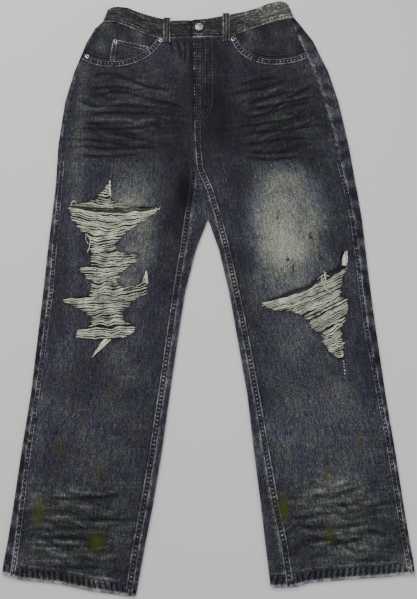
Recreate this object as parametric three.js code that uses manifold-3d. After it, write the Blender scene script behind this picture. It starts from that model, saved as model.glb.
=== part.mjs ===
// Ripped jeans, laid flat and face up. Millimetres, +Z up.
// The origin is under their middle, +Y points to the waist and +X to the wearer's left.
// Left and right are the wearer's own. z = 0 is the surface that the jeans lie on.

import * as THREE from 'three';
import { mergeVertices } from 'three/addons/utils/BufferGeometryUtils.js';
import Module from 'manifold-3d';

const wasm = await Module();
wasm.setup();
const { lerp, smoothstep, clamp } = THREE.MathUtils;

// Driving dimensions: cloth and gaps
const DENIM = 1.5;
const SEAM_GAP = 0.3;
const FOLD_RADIUS = 3.2;
const LEG_AIR = 1.5;
const SEAT_RAISE = 1.7;
const SEAT_RAISE_FROM = 170;
const SEAT_RAISE_TO = 270;

// Driving dimensions: the front panels' form
const TOP_LEVEL = 6.5;
const TOP_LEVEL_FROM = 350;
const TOP_LEVEL_TO = 412;
const EDGE_RISE_REACH = 16;
const CREASE_EDGE_FADE = 24;
const CREASE_LOWEST = -1.1;
const CREASE_HIGHEST = 2.4;
const CREASE_END_FADE = 0.3;
const CREASE_PAST_END = 0.06;
const CUT_HEIGHT = 20;
const INSEAM_LIFT_FROM = 235;
const INSEAM_LIFT_TO = 150;
const FELL_RELIEF = 0.6;
const FLY_RELIEF = 0.9;
const FLY_END_Y = 305;
const HEM_RELIEF = 0.9;

// Driving dimensions: waistband, loops and hardware
const BAND_WALL = 2.4;
const BAND_RADIUS = 3.5;
const BAND_LAP_RISE = 0.9;
const BAND_UNDERLAP_END = 8;
const BAND_UNDERLAP_PAST = 3;
const BAND_LAP_FROM = 10;
const BAND_LAP_FROM_SHARE = 0.6;
const BAND_LAP_FULL = -4;
const BAND_LAP_EDGE = -32.5;
const BAND_LAP_REACH = 14;
const CENTRE_BACK_X = -20;
const LOOP_WIDTH = 14;
const LOOP_WALL = 1.4;
const LOOP_FOOT = 5;
const LOOP_RAMP = 4;
const LOOP_RAMP_SHIFT = 1;
const LOOP_TAB = 3;
const BUTTON_AT = [-19, 502];
const BUTTON_RADIUS = 8.5;
const BUTTON_HEIGHT = 3.4;
const RIVET_RADIUS = 4.5;
const RIVET_HEIGHT = 1.6;
const ROUND_SIDES = 16;

// Driving dimensions: pockets and fly
const FACING_WALL = 1.2;
const FACING_AIR = 0.4;
const FACING_RISE_FROM = 444;
const FACING_RISE_TO = 466;
const FACING_EDGE_REACH = 12;
const FACING_TOP_GAP = 1.2;
const FACING_SEWN_TO = 0.9;
const FACING_INNER = { right: -96, left: 46 };
const BACK_POCKET_MIDDLE = { right: -140, left: 98 };
const COIN_WALL = 1;
const BACK_PATCH_WALL = 1.4;
const ZIP_WALL = 0.8;

// Driving dimensions: the threads that bridge the rips
const THREAD_RADIUS = 0.45;
const THREAD_LEVEL = 2.25;
const THREAD_SIDES = 3;
const THREAD_STEPS = 4;
const THREAD_WAVE = 1.1;
const THREAD_TURNS = 9;
const THREAD_RISE = 1;
const ROOT_INSET = 0.6;
const ROOT_WIDTH = 3;
const ROOT_WALL = 0.8;

const COLOURS = {
  denim: 0x2b303c,
  wornDenim: 0x3a3f4a,
  thread: 0xb9bdab,
  metal: 0x9a9a94,
  tape: 0x24262c,
};

// Turns rows of numbers into objects, one named column for each number.
function table(columns, ...rows) {
  const names = columns.split(' ');
  return rows.map((row) => Object.fromEntries(row.map((value, i) => [names[i], value])));
}

// Reads a column between two rows of a table that is sorted by its key.
function read(rows, key, at, column) {
  const way = Math.sign(rows[1][key] - rows[0][key]);
  let i = 1;
  while (i < rows.length - 1 && way * (at - rows[i][key]) > 0) i += 1;
  const [a, b] = [rows[i - 1], rows[i]];
  const share = clamp((at - a[key]) / (b[key] - a[key]), 0, 1);
  return lerp(a[column], b[column], share);
}

// One row for each section of a leg, from the waist seam to the hem's edge. yOut and yIn are the
// heights at its outer and inner fold. bow is the share of the waist or hem line's bow that a
// section follows. outer and inner are the folds, outseam and inseam the front panel's edges.
// Above the crotch inseam is the centre front and inner the centre back. steps is the number of
// rows that the front panel has between a section and the one before it.
const LEG_COLUMNS = 'yOut yIn bow outer outseam inseam inner steps';
const RIGHT_LEG = table(LEG_COLUMNS,
  [518, 481, 1, -216, -210.5, -31, -20, 0],
  [505, 470, 0.95, -231.5, -226, -31, -20, 1],
  [474, 444, 0.6, -247.5, -242, -30.5, -20, 2],
  [406, 400, 0.1, -269, -263.5, -30, -20, 5],
  [340, 340, 0, -284, -278.5, -29, -20, 5],
  [245, 245, 0, -293, -287.5, -26, -21, 7],
  [196, 196, 0, -293.5, -288, -22, -22, 2],
  [188, 188, 0, -293.6, -288.1, -22.7, -20.5, 1],
  [150, 150, 0, -294.5, -289, -26, -12.5, 1],
  [96, 96, 0, -298, -291, -34, -1, 2],
  [33, 33, 0, -302, -293, -42, -24, 2],
  [-47, -47, 0, -306, -295, -54, -43, 2],
  [-100, -100, 0, -309, -299, -61, -51, 2],
  [-233, -233, 0, -317, -309, -78, -69, 4],
  [-329, -329, 0, -327, -318, -91, -81, 3],
  [-422, -422, 0, -335, -324, -105, -95.5, 4],
  [-480, -484, 0.3, -341, -328, -116, -107, 4],
  [-509, -543, 1, -345, -330.5, -124, -117, 2],
  [-531, -565, 1, -347, -333, -128, -121, 1]);
const LEFT_LEG = table(LEG_COLUMNS,
  [528, 481, 1, 175, 165, -31, -20, 0],
  [514, 470, 0.95, 187.5, 173, -31, -20, 1],
  [479, 444, 0.6, 212.5, 185, -30.5, -20, 2],
  [408, 400, 0.1, 240, 212, -30, -20, 5],
  [340, 340, 0, 257.5, 229.5, -29, -20, 5],
  [245, 245, 0, 273.5, 250.5, -26, -21, 7],
  [196, 196, 0, 279.7, 259.5, -22, -22, 2],
  [188, 188, 0, 280.6, 261, -18.3, -20.5, 1],
  [150, 150, 0, 285.5, 268, -2.3, -12.5, 1],
  [96, 96, 0, 291.5, 276.5, 13, -1, 2],
  [33, 33, 0, 295.2, 281.5, 29, 20, 2],
  [-47, -47, 0, 300.2, 286.5, 45, 38, 2],
  [-100, -100, 0, 304.2, 290, 56, 47, 2],
  [-233, -233, 0, 315.8, 307.5, 79, 69, 4],
  [-329, -329, 0, 326.4, 320.5, 94, 79, 3],
  [-422, -422, 0, 335.4, 329.9, 109, 90, 4],
  [-480, -485, 0.3, 341.6, 336.1, 122, 96.5, 4],
  [-509, -530, 1, 345.4, 339.9, 128, 101.5, 2],
  [-531, -552, 1, 347, 341.5, 131, 104, 1]);

// Rows of those tables with a use of their own, and the most that a seam bows from a straight line.
const CROTCH = 6;
const FLAP_TOP = 7;
const APEX = 9;
const HEM_TOP = 17;
const BOW_LOWEST = -18;
const BOW_HIGHEST = 6;

// The waist seam, the waistband's top edge and the hems' edges, from -X to +X.
const EDGE = 'x y';
const WAIST_SEAM = table(EDGE,
  [-216, 518], [-191, 517], [-163, 506], [-135, 492], [-111, 482.5], [-78, 479.5], [-31, 481],
  [23, 482], [48, 485], [74, 496], [104, 507], [130, 517], [164, 526], [175, 528]);
const WAIST_TOP = table(EDGE,
  [-207, 540], [-203, 547], [-196, 551], [-186, 552], [-167, 550], [-145, 540], [-120, 531],
  [-99, 525], [-75, 519.5], [-33, 521], [-7, 523], [26, 530], [75, 541], [104, 550], [122, 559],
  [147, 565], [158, 562], [165, 552]);
const HEM_LINE = table(EDGE,
  [-347, -531], [-312, -540.5], [-248, -546.5], [-197, -557], [-140, -564.5], [-121, -565],
  [104, -552], [146, -551], [169, -545], [237, -539.5], [295, -536], [347, -531]);

// Creases of the front panels: each runs from x0, y0 to x1, y1 and is at middle halfway. height is
// negative in a trough, and width is half its width.
const CREASE_COLUMNS = 'x0 y0 middle x1 y1 height width';
const CREASES = table(CREASE_COLUMNS,
  [-230, 371, 378, -62, 348, 2.1, 9],
  [-240, 351, 361, -46, 325, -1.1, 6],
  [-224, 338, 336, -60, 320, 1.7, 8],
  [-258, 342, 329, -198, 331, -0.9, 5],
  [-262, 322, 322, -160, 325, 1.6, 7],
  [-255, 310, 316, -60, 313, -1, 6],
  [-250, 300, 298, -75, 301, 1.8, 8],
  [-244, 293, 289, -190, 292, -0.8, 5],
  [-240, 262, 256, -98, 246, 1.4, 8],
  [-274, 242, 238, -85, 241, -1, 7],
  [-268, 226, 225, -100, 229, 1.1, 8],
  [50, 343, 357, 166, 377, 1.9, 8],
  [44, 354, 368, 160, 390, -0.9, 6],
  [72, 323, 336, 190, 352, 1.8, 8],
  [150, 342, 356, 208, 377, -0.9, 5],
  [62, 303, 317, 206, 337, -1.1, 6],
  [74, 288, 299, 208, 317, 1.8, 9],
  [62, 261, 277, 216, 288, -1, 7],
  [80, 248, 256, 222, 266, 1.3, 9],
  [80, 231, 230, 160, 233, -0.8, 7],
  [-282, -180, -200, -120, -192, 0.8, 22],
  [120, -206, -196, 262, -214, 0.8, 22],
  [-288, -421, -416, -138, -423, 2, 8],
  [-284, -431, -432, -150, -438, -1, 6],
  [-276, -437, -448, -160, -456, 1.6, 7],
  [-292, -466, -464, -166, -460, 1.9, 8],
  [-284, -478, -484, -180, -476, -1, 7],
  [-286, -489, -502, -160, -514, 2, 8],
  [160, -404, -396, 258, -371, 2, 8],
  [186, -424, -424, 264, -416, -1, 6],
  [132, -442, -440, 228, -431, -1, 6],
  [186, -434, -434, 262, -428, 1.3, 6],
  [156, -463, -460, 240, -467, 1.9, 8],
  [210, -481, -478, 272, -470, -0.9, 6],
  [212, -497, -498, 276, -479, 1.7, 7]);

// The rips' outlines. left and right are torn edges from top to bottom, which the threads bridge.
// notch closes the outline between the right edges, where the cloth has none.
const RIP_RIGHT = {
  left: table(EDGE,
    [-193, 167], [-202, 152], [-215, 136], [-226, 127], [-262, 124], [-263, 110], [-252, 90],
    [-243, 74], [-229, 61], [-221, 46], [-218, 22], [-219, 4], [-239, 1], [-241, -7],
    [-223, -20], [-214, -28], [-213, -48], [-222, -55], [-264, -59], [-265, -66], [-234, -79],
    [-216, -90], [-213, -106], [-221, -114], [-238, -118], [-243, -131], [-204, -134]),
  right: [
    table(EDGE,
      [-189, 167], [-189, 147], [-186, 132], [-162, 121], [-101, 118], [-103, 108], [-130, 88],
      [-155, 71], [-170, 52], [-179, 40], [-172, 30], [-133, 25], [-134, 13], [-158, -5],
      [-169, -14], [-174, -27], [-154, -43]),
    table(EDGE,
      [-113, -15], [-114, -50], [-134, -58], [-146, -70], [-157, -84], [-156, -100],
      [-135, -111], [-134, -122], [-160, -134]),
  ],
  notch: table(EDGE, [-121, -25], [-130, -33], [-143, -41]),
};
const RIP_LEFT = {
  left: table(EDGE,
    [103, -66], [105, -75], [128, -82], [154, -83], [172, -91], [186, -99], [189, -116],
    [208, -124], [210, -144], [219, -157], [236, -170]),
  right: [table(EDGE,
    [258, 30], [257, 8], [250, -14], [243, -44], [243, -55], [256, -59], [256, -79], [248, -99],
    [241, -112], [243, -140], [243, -166], [240, -170.5])],
  notch: table(EDGE,
    [250, 30], [247, 6], [240, -2], [218, -11], [205, -17], [188, -33], [168, -40], [150, -45],
    [131, -55]),
};

// Bands of threads: the heights on the left and right edge where a band starts and ends, how far
// its threads sag in the middle, and their number. right is the right edge that they reach.
const BAND = 'leftFrom leftTo rightFrom rightTo sag right count';
const THREADS_RIGHT = table(BAND,
  [160, 130, 158, 127, 1, 0, 4],
  [119, 66, 116, 70, 9, 0, 7],
  [62, 34, 64, 36, 3, 0, 3],
  [22, 6, 22, 0, 3, 0, 3],
  [-1, -38, -8, -32, 1, 0, 4],
  [-50, -55, -28, -52, 9, 1, 3],
  [-61, -65, -57, -62, 1, 1, 2],
  [-73, -110, -70, -106, -1, 1, 4],
  [-117, -132, -114, -131, 1, 1, 3]);
const THREADS_LEFT = table(BAND,
  [-69, -81, -6, -33, 2, 0, 4],
  [-85, -120, -40, -66, 2, 0, 6],
  [-127, -141, -72, -96, 1, 0, 4],
  [-146, -167, -104, -160, 0, 0, 5]);

// How far the seat lies above the surface, on the back pockets and loops.
function seatRaise(y) {
  return SEAT_RAISE * smoothstep(y, SEAT_RAISE_FROM, SEAT_RAISE_TO);
}

// A leg's section at a place between two rows of its table.
function section(leg, at) {
  const i = Math.min(Math.floor(at), leg.length - 2);
  const columns = Object.keys(leg[0]);
  const mix = (name) => [name, lerp(leg[i][name], leg[i + 1][name], at - i)];
  return { at, ...Object.fromEntries(columns.map(mix)) };
}

// The height on a section's line at x, with the bow of the waist seam or of the hem's edge.
function sectionY(leg, cut, x) {
  const end = cut.at < CROTCH ? leg[0] : leg[leg.length - 1];
  const line = cut.at < CROTCH ? WAIST_SEAM : HEM_LINE;
  const straight = ({ outer, inner, yOut, yIn }) => lerp(yIn, yOut, (x - inner) / (outer - inner));
  const bow = clamp(read(line, 'x', x, 'y') - straight(end), BOW_LOWEST, BOW_HIGHEST);
  return straight(cut) + cut.bow * bow;
}

// Creases: each is a soft ridge or trough along a bowed line that fades out at its ends.
function bowedY({ y0, middle, y1 }, share) {
  const pull = 2 * middle - (y0 + y1) / 2;
  return (1 - share) ** 2 * y0 + 2 * share * (1 - share) * pull + share ** 2 * y1;
}

function creaseHeight(x, y) {
  let sum = 0;
  for (const crease of CREASES) {
    const share = (x - crease.x0) / (crease.x1 - crease.x0);
    const fromEnd = Math.min(share, 1 - share);
    if (fromEnd < -CREASE_PAST_END) continue;
    const lineY = bowedY(crease, clamp(share, 0, 1));
    const across = Math.exp(-(((y - lineY) / crease.width) ** 2));
    const fade = smoothstep(fromEnd, -CREASE_PAST_END, CREASE_END_FADE);
    sum += crease.height * across * fade;
  }
  return clamp(sum, CREASE_LOWEST, CREASE_HIGHEST);
}

// The front panel's underside: flat over the back, up to the folds at its edges, up to the
// waistband at the top, with the creases between them.
function frontUnderside(x, y, fromOutseam, fromInseam) {
  const raise = seatRaise(y);
  const flat = raise + DENIM + LEG_AIR;
  const atFold = raise + 2 * FOLD_RADIUS - DENIM;
  const inseamLift = 1 - smoothstep(y, INSEAM_LIFT_TO, INSEAM_LIFT_FROM);
  const near = (distance) => Math.exp(-((distance / EDGE_RISE_REACH) ** 2));
  const edge = Math.max(near(fromOutseam), near(fromInseam) * inseamLift);
  const top = smoothstep(y, TOP_LEVEL_FROM, TOP_LEVEL_TO);
  const creaseFade = smoothstep(Math.min(fromOutseam, fromInseam), 0, CREASE_EDGE_FADE);
  const level = lerp(lerp(flat, atFold, edge), TOP_LEVEL, top);
  return level + creaseHeight(x, y) * creaseFade * (1 - top);
}

// Closes a sheet: its outer and inner points in patches of rows, walls along every free edge.
function wall(...patches) {
  const places = new Map();
  const positions = [];
  const outline = new Map();
  const triangles = [];
  const vertex = (point) => {
    const key = point.map((value) => value.toFixed(4)).join();
    if (!places.has(key)) {
      places.set(key, positions.length / 3);
      positions.push(...point);
    }
    return places.get(key);
  };
  const face = (a, b, c) => {
    const corners = [a, b, c].map((point) => vertex(point.out));
    if (new Set(corners).size < 3) return;
    triangles.push(corners, [c, b, a].map((point) => vertex(point.in)));
    [[a, b], [b, c], [c, a]].forEach(([from, to]) => {
      const [start, end] = [vertex(from.out), vertex(to.out)];
      if (!outline.delete(`${end}-${start}`)) outline.set(`${start}-${end}`, [from, to]);
    });
  };
  for (const rows of patches) {
    for (let i = 0; i < rows.length - 1; i += 1) {
      for (let j = 0; j < rows[i].length - 1; j += 1) {
        face(rows[i][j], rows[i + 1][j], rows[i + 1][j + 1]);
        face(rows[i][j], rows[i + 1][j + 1], rows[i][j + 1]);
      }
    }
  }
  for (const [from, to] of outline.values()) {
    const [a, b] = [vertex(from.out), vertex(to.out)];
    const [c, d] = [vertex(to.in), vertex(from.in)];
    triangles.push([b, a, d], [b, d, c]);
  }
  return facingOut(positions, triangles);
}

// Makes a geometry whose faces point out, whichever way round its rows ran.
function facingOut(positions, triangles) {
  const at = (i) => new THREE.Vector3().fromArray(positions, 3 * i);
  const volume = triangles.reduce((sum, [a, b, c]) => sum + at(a).dot(at(b).cross(at(c))), 0);
  const ordered = volume > 0 ? triangles : triangles.map(([a, b, c]) => [a, c, b]);
  const geometry = new THREE.BufferGeometry();
  geometry.setAttribute('position', new THREE.Float32BufferAttribute(positions, 3));
  geometry.setIndex(ordered.flat());
  return geometry;
}

// Joins and cuts
const SAME_PLACE = 1e-4;

function solid(geometry) {
  const bare = geometry.clone();
  bare.deleteAttribute('normal');
  bare.deleteAttribute('uv');
  const merged = mergeVertices(bare, SAME_PLACE);
  const vertProperties = new Float32Array(merged.attributes.position.array);
  const triVerts = new Uint32Array(merged.index.array);
  return new wasm.Manifold(new wasm.Mesh({ numProp: 3, vertProperties, triVerts }));
}

function surface(manifold) {
  const mesh = manifold.getMesh();
  const geometry = new THREE.BufferGeometry();
  geometry.setAttribute('position', new THREE.BufferAttribute(mesh.vertProperties, 3));
  geometry.setIndex(new THREE.BufferAttribute(mesh.triVerts, 1));
  return geometry;
}

// A flat outline given thickness from one height up.
function plate(shape, from, thickness, curveSegments = 8) {
  const settings = { depth: thickness, bevelEnabled: false, curveSegments };
  return new THREE.ExtrudeGeometry(shape, settings).translate(0, 0, from);
}

function outlineShape(points) {
  return new THREE.Shape(points.map(({ x, y }) => new THREE.Vector2(x, y)));
}

// Front panels. Their columns run from the outseam (0) to the inseam (1), the felled seam's edge
// and, on the left front, the fly's edge among them.
const RIGHT_FRONT_COLUMNS = [0, 0.04, 0.13, 0.22, 0.31, 0.4, 0.5, 0.6, 0.7, 0.79, 0.88, 0.94,
  0.955, 1];
const LEFT_FRONT_COLUMNS = [0, 0.04, 0.13, 0.22, 0.31, 0.4, 0.5, 0.6, 0.68, 0.76, 0.84, 0.855,
  0.94, 0.955, 1];
const FELL_SHARE = 0.95;
const FLY_SHARE = 0.85;
const HEM_STEP = 0.07;

function frontRows(leg) {
  const places = [0];
  leg.slice(1).forEach(({ steps }, i) => {
    if (i === HEM_TOP) places.push(i + HEM_STEP);
    for (let step = 1; step <= steps; step += 1) places.push(i + step / steps);
  });
  return places;
}

// Doubled cloth on the outside: the hem's turn-up, the felled inseam and the fly.
function frontRelief(cut, share, y, hasFly) {
  if (cut.at > HEM_TOP) return HEM_RELIEF;
  if (hasFly && share > FLY_SHARE && y > FLY_END_Y) return FLY_RELIEF;
  return share > FELL_SHARE && y < FLY_END_Y ? FELL_RELIEF : 0;
}

function frontSheet(leg, columns, hasFly) {
  const side = Math.sign(leg[0].outer);
  const rows = frontRows(leg).map((at) => {
    const cut = section(leg, at);
    const start = cut.outseam - side * SEAM_GAP / 2;
    const end = cut.inseam + side * SEAM_GAP / 2;
    const width = Math.abs(end - start);
    return columns.map((share) => {
      const x = lerp(start, end, share);
      const y = sectionY(leg, cut, x) - (at === 0 ? SEAM_GAP : 0);
      const low = frontUnderside(x, y, share * width, (1 - share) * width);
      const high = low + DENIM + frontRelief(cut, share, y, hasFly);
      return { out: [x, y, high], in: [x, y, low] };
    });
  });
  return wall(rows);
}

// The front pocket's mouth: a curve from the outseam to the waist seam, open above it.
const MOUTH_BEYOND = 60;
const RIGHT_MOUTH = {
  outseam: [-253, 445], hipPull: [-215, 414], waistPull: [-130, 418], waist: [-102, 482],
};
const LEFT_MOUTH = {
  outseam: [200, 448], hipPull: [165, 427], waistPull: [72, 412], waist: [54, 489],
};

function pocketMouth(side, { outseam, waist, hipPull, waistPull }) {
  const shape = new THREE.Shape();
  const beyond = outseam[0] + side * MOUTH_BEYOND;
  shape.moveTo(beyond, outseam[1] + MOUTH_BEYOND / 3);
  shape.lineTo(...outseam);
  shape.bezierCurveTo(...hipPull, ...waistPull, ...waist);
  shape.lineTo(waist[0], waist[1] + 2 * MOUTH_BEYOND);
  shape.lineTo(beyond, waist[1] + 2 * MOUTH_BEYOND);
  return plate(shape, 0, CUT_HEIGHT);
}

function ripOutline(rip) {
  const rights = rip.right.map((edge) => [...edge].reverse());
  const lobes = rights.length > 1 ? [...rights[1], ...rip.notch, ...rights[0]] : rights[0];
  const tail = rights.length > 1 ? [] : rip.notch;
  return outlineShape([...rip.left, ...lobes, ...tail]);
}

function front(leg, columns, mouth, rip, hasFly) {
  const side = Math.sign(leg[0].outer);
  const torn = solid(plate(ripOutline(rip), 0, CUT_HEIGHT));
  const open = solid(pocketMouth(side, mouth));
  return surface(solid(frontSheet(leg, columns, hasFly)).subtract(open).subtract(torn));
}

// Back panels and yokes: they run from the outseam on top, round the outer fold, under the leg
// and, below the crotch, round the inner fold to the inseam on top. A column is a place on the
// fold's circle: the x of its centre and the angle of the outer side, 90 degrees on top.
const TOP = Math.PI / 2;
const UNDER_SHARES = [0.12, 0.3, 0.5, 0.7, 0.88];
const YOKE_AT = 2.35;
const YOKE_DROP = 26;

function clothPoint(x, y, side, angle, raise, radius, thickness) {
  const place = (r) => [x + side * r * Math.cos(angle), y, raise + radius + r * Math.sin(angle)];
  return { out: place(radius), in: place(radius - thickness) };
}

function outerColumns(cut, side) {
  const centre = cut.outer - side * FOLD_RADIUS;
  const arc = [1, 0.5, 0, -0.5, -1].map((turn) => [centre, turn * TOP]);
  return [[cut.outseam + side * SEAM_GAP / 2, TOP], ...arc];
}

function innerCentre(cut, side) {
  return cut.inner + side * (FOLD_RADIUS + SEAM_GAP / 2);
}

function underXs(cut, side) {
  const from = cut.outer - side * FOLD_RADIUS;
  return UNDER_SHARES.map((share) => lerp(from, innerCentre(cut, side), share));
}

function underColumns(cut, side) {
  const to = innerCentre(cut, side);
  const under = underXs(cut, side).map((x) => [x, -TOP]);
  if (cut.at >= APEX) return [...under, [to, -TOP], [to, -1.5 * TOP], [to, -2 * TOP]];
  const edge = cut.inner + side * SEAM_GAP / 2;
  return [...under, [to, -TOP], [lerp(to, edge, 0.5), -TOP], [edge, -TOP]];
}

function innerColumns(cut, side) {
  const end = cut.inseam - side * SEAM_GAP / 2;
  const centre = innerCentre(cut, side);
  if (cut.at >= APEX) return [[centre, 2 * TOP], [centre, 1.5 * TOP], [centre, TOP], [end, TOP]];
  const edge = cut.inner + side * SEAM_GAP / 2;
  return [0, 0.35, 0.7, 1].map((share) => [lerp(edge, end, share), TOP]);
}

function backPatch(leg, places, columnsOf, dropOf = () => 0) {
  const side = Math.sign(leg[0].outer);
  return places.map((at) => {
    const cut = section(leg, at);
    const raise = seatRaise(cut.yIn);
    return columnsOf(cut, side).map(([x, angle]) => {
      const y = sectionY(leg, cut, x) - dropOf(at, x, cut);
      return clothPoint(x, y, side, angle, raise, FOLD_RADIUS, DENIM);
    });
  });
}

const allRound = (cut, side) => [...outerColumns(cut, side), ...underColumns(cut, side)];
const centreShare = (x, cut) => clamp((cut.outseam - x) / (cut.outseam - cut.inner), 0, 1);

function backPanel(leg) {
  const whole = leg.map((row, i) => i).filter((i) => i > YOKE_AT);
  const flap = whole.filter((i) => i >= FLAP_TOP);
  const drop = (at, x, cut) => (at === YOKE_AT ? YOKE_DROP * centreShare(x, cut) : 0);
  return wall(backPatch(leg, [YOKE_AT, ...whole], allRound, drop), backPatch(leg, flap, innerColumns));
}

function yoke(leg) {
  const drop = (at, x, cut) => {
    if (at === 0) return SEAM_GAP;
    return at === YOKE_AT ? YOKE_DROP * centreShare(x, cut) - SEAM_GAP : 0;
  };
  return wall(backPatch(leg, [0, 1, 2, YOKE_AT], allRound, drop));
}

// Waistband: one flat strip. From its end under the button it runs round the right side, the
// back and the left side to its lapped edge on top.
const BAND_BOTTOM = { line: WAIST_SEAM, gap: SEAM_GAP / 2, left: -216, right: 175 };
const BAND_EDGE = { line: WAIST_TOP, gap: 0, left: -207, right: 165 };
const BAND_RIGHT_XS = [-62, -80, -99, -120, -145, -167, -190];
const BAND_LEFT_XS = [147, 122, 92, 74, 48, 23];

function bandColumns(left, right) {
  const [foldLeft, foldRight] = [left + BAND_RADIUS, right - BAND_RADIUS];
  const arc = [1, 0.5, 0, -0.5, -1];
  const under = BAND_WALL + SEAM_GAP - BAND_LAP_RISE;
  const onTop = (side) => (x, lift = 0) => ({ x, side, turn: 1, lift });
  const [rightTop, leftTop] = [onTop(-1), onTop(1)];
  const backXs = [...underXs(section(RIGHT_LEG, 0), -1), CENTRE_BACK_X];
  backXs.push(...underXs(section(LEFT_LEG, 0), 1).reverse());
  return [
    rightTop(BAND_UNDERLAP_END, -under),
    rightTop(BAND_LAP_EDGE - BAND_UNDERLAP_PAST, -under),
    rightTop(BAND_LAP_EDGE - BAND_LAP_REACH),
    ...BAND_RIGHT_XS.map((x) => rightTop(x)),
    ...arc.map((turn) => ({ x: foldLeft, side: -1, turn, lift: 0 })),
    ...backXs.map((x) => ({ x, side: 1, turn: -1, lift: 0 })),
    ...[...arc].reverse().map((turn) => ({ x: foldRight, side: 1, turn, lift: 0 })),
    ...BAND_LEFT_XS.map((x) => leftTop(x)),
    leftTop(BAND_LAP_FROM, BAND_LAP_RISE * BAND_LAP_FROM_SHARE),
    leftTop(BAND_LAP_FULL, BAND_LAP_RISE),
    leftTop(BAND_LAP_EDGE, BAND_LAP_RISE),
  ];
}

function waistband() {
  const patch = [BAND_BOTTOM, BAND_EDGE].map(({ line, gap, left, right }) => (
    bandColumns(left, right).map(({ x, side, turn, lift }) => {
      const y = read(line, 'x', x, 'y') + gap;
      return clothPoint(x, y, side, turn * TOP, SEAT_RAISE + lift, BAND_RADIUS, BAND_WALL);
    })));
  return wall(patch);
}

// Belt loops: a strip with a foot on the panel and its top turned over the waistband's edge.
const BAND_TOP = SEAT_RAISE + 2 * BAND_RADIUS;
const FRONT_LOOPS = table('x low high', [-84.5, 469.5, 524.2], [36, 471, 534.6]);
const BACK_LOOPS = table('x low high',
  [-118, 470, 530], [-20, 468, 520], [84, 478, 542]);

function frontLoop({ x, low, high }) {
  const foot = TOP_LEVEL + DENIM + SEAM_GAP;
  const over = BAND_TOP + SEAM_GAP;
  const [step, turn] = [low + LOOP_FOOT, high + LOOP_WALL];
  const profile = table(EDGE,
    [low, foot], [step, foot], [step + LOOP_RAMP, over], [high, over], [high, over - LOOP_TAB],
    [turn, over - LOOP_TAB], [turn, over + LOOP_WALL / 2], [high, over + LOOP_WALL],
    [step + LOOP_RAMP - LOOP_RAMP_SHIFT, over + LOOP_WALL],
    [step - LOOP_RAMP_SHIFT, foot + LOOP_WALL],
    [low, foot + LOOP_WALL]);
  const strip = plate(outlineShape(profile), 0, LOOP_WIDTH);
  const [alongX, alongY, alongZ] = [0, 1, 2].map((i) => new THREE.Vector3().setComponent(i, 1));
  const standing = new THREE.Matrix4().makeBasis(alongY, alongZ, alongX);
  return strip.applyMatrix4(standing).translate(x - LOOP_WIDTH / 2, 0, 0);
}

function backLoop({ x, low, high }) {
  const half = LOOP_WIDTH / 2;
  const corners = table(EDGE, [x - half, low], [x + half, low], [x + half, high], [x - half, high]);
  return plate(outlineShape(corners), 0, BACK_PATCH_WALL);
}

// Pocket facings: denim behind the pocket's mouth, a little under the front panel.
const FACING_ROWS = [0, 1, 1.5, 2, 2.5, 2.9];
const FACING_SHARES = [0, 0.07, 0.16, 0.35, 0.55, 0.75, 0.92, 1];

function facing(leg, innerX) {
  const side = Math.sign(leg[0].outer);
  const low = SEAT_RAISE + DENIM + FACING_AIR;
  const atFold = SEAT_RAISE + 2 * FOLD_RADIUS - DENIM;
  const rows = FACING_ROWS.map((at) => {
    const cut = section(leg, at);
    const start = cut.outseam - side * SEAM_GAP;
    return FACING_SHARES.map((share) => {
      const x = lerp(start, innerX, share);
      const y = sectionY(leg, cut, x) - (at === 0 ? FACING_TOP_GAP : 0);
      const edge = Math.exp(-((Math.abs(x - start) / FACING_EDGE_REACH) ** 2));
      const shown = smoothstep(y, FACING_RISE_FROM, FACING_RISE_TO);
      const atBand = at === 0 && share < FACING_SEWN_TO ? TOP_LEVEL - FACING_WALL : low;
      const z = Math.max(lerp(low, atFold, edge * shown), atBand);
      return { out: [x, y, z + FACING_WALL], in: [x, y, z] };
    });
  });
  return wall(rows);
}

// Coin pocket on the right facing, its lower edge under the front panel.
const FACING_TOP = SEAT_RAISE + DENIM + FACING_AIR + FACING_WALL;
const COIN_CORNERS = table(EDGE, [-194, 479], [-200, 419], [-124, 419], [-122, 461]);

function coinPocket() {
  return plate(outlineShape(COIN_CORNERS), FACING_TOP + SEAM_GAP, COIN_WALL);
}

// Back patch pockets, flat under the seat.
const BACK_POCKET = table(EDGE,
  [-70, 426], [70, 426], [64, 304], [0, 276], [-64, 304]);

function backPocket(middle) {
  const corners = BACK_POCKET.map(({ x, y }) => ({ x: x + middle, y }));
  return plate(outlineShape(corners), 0, BACK_PATCH_WALL);
}

// Closed zip under the fly.
function flyZip() {
  const tape = table(EDGE, [-48, 470], [-48, 312], [-14, 312], [-14, 470]);
  return plate(outlineShape(tape), SEAT_RAISE + DENIM + FACING_AIR, ZIP_WALL);
}

// Turned metal parts: a profile of radius and height shares, spun about a vertical axis.
function turned(profile, radius, height, [x, y], base) {
  const points = profile.map(([r, h]) => new THREE.Vector2(r * radius, h * height));
  const lathe = new THREE.LatheGeometry(points, ROUND_SIDES);
  return lathe.rotateX(Math.PI / 2).translate(x, y, base);
}

const BUTTON_PROFILE = [[0, 0], [0.55, 0], [0.55, 0.4], [0.96, 0.46], [1, 0.7], [0.9, 0.94],
  [0.74, 1], [0.6, 0.86], [0, 0.86]];
const RIVET_PROFILE = [[0, 0], [1, 0], [0.98, 0.35], [0.62, 0.6], [0.4, 1], [0, 1]];

function waistButton() {
  const base = BAND_TOP + BAND_LAP_RISE + SEAM_GAP;
  return turned(BUTTON_PROFILE, BUTTON_RADIUS, BUTTON_HEIGHT, BUTTON_AT, base);
}

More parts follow.
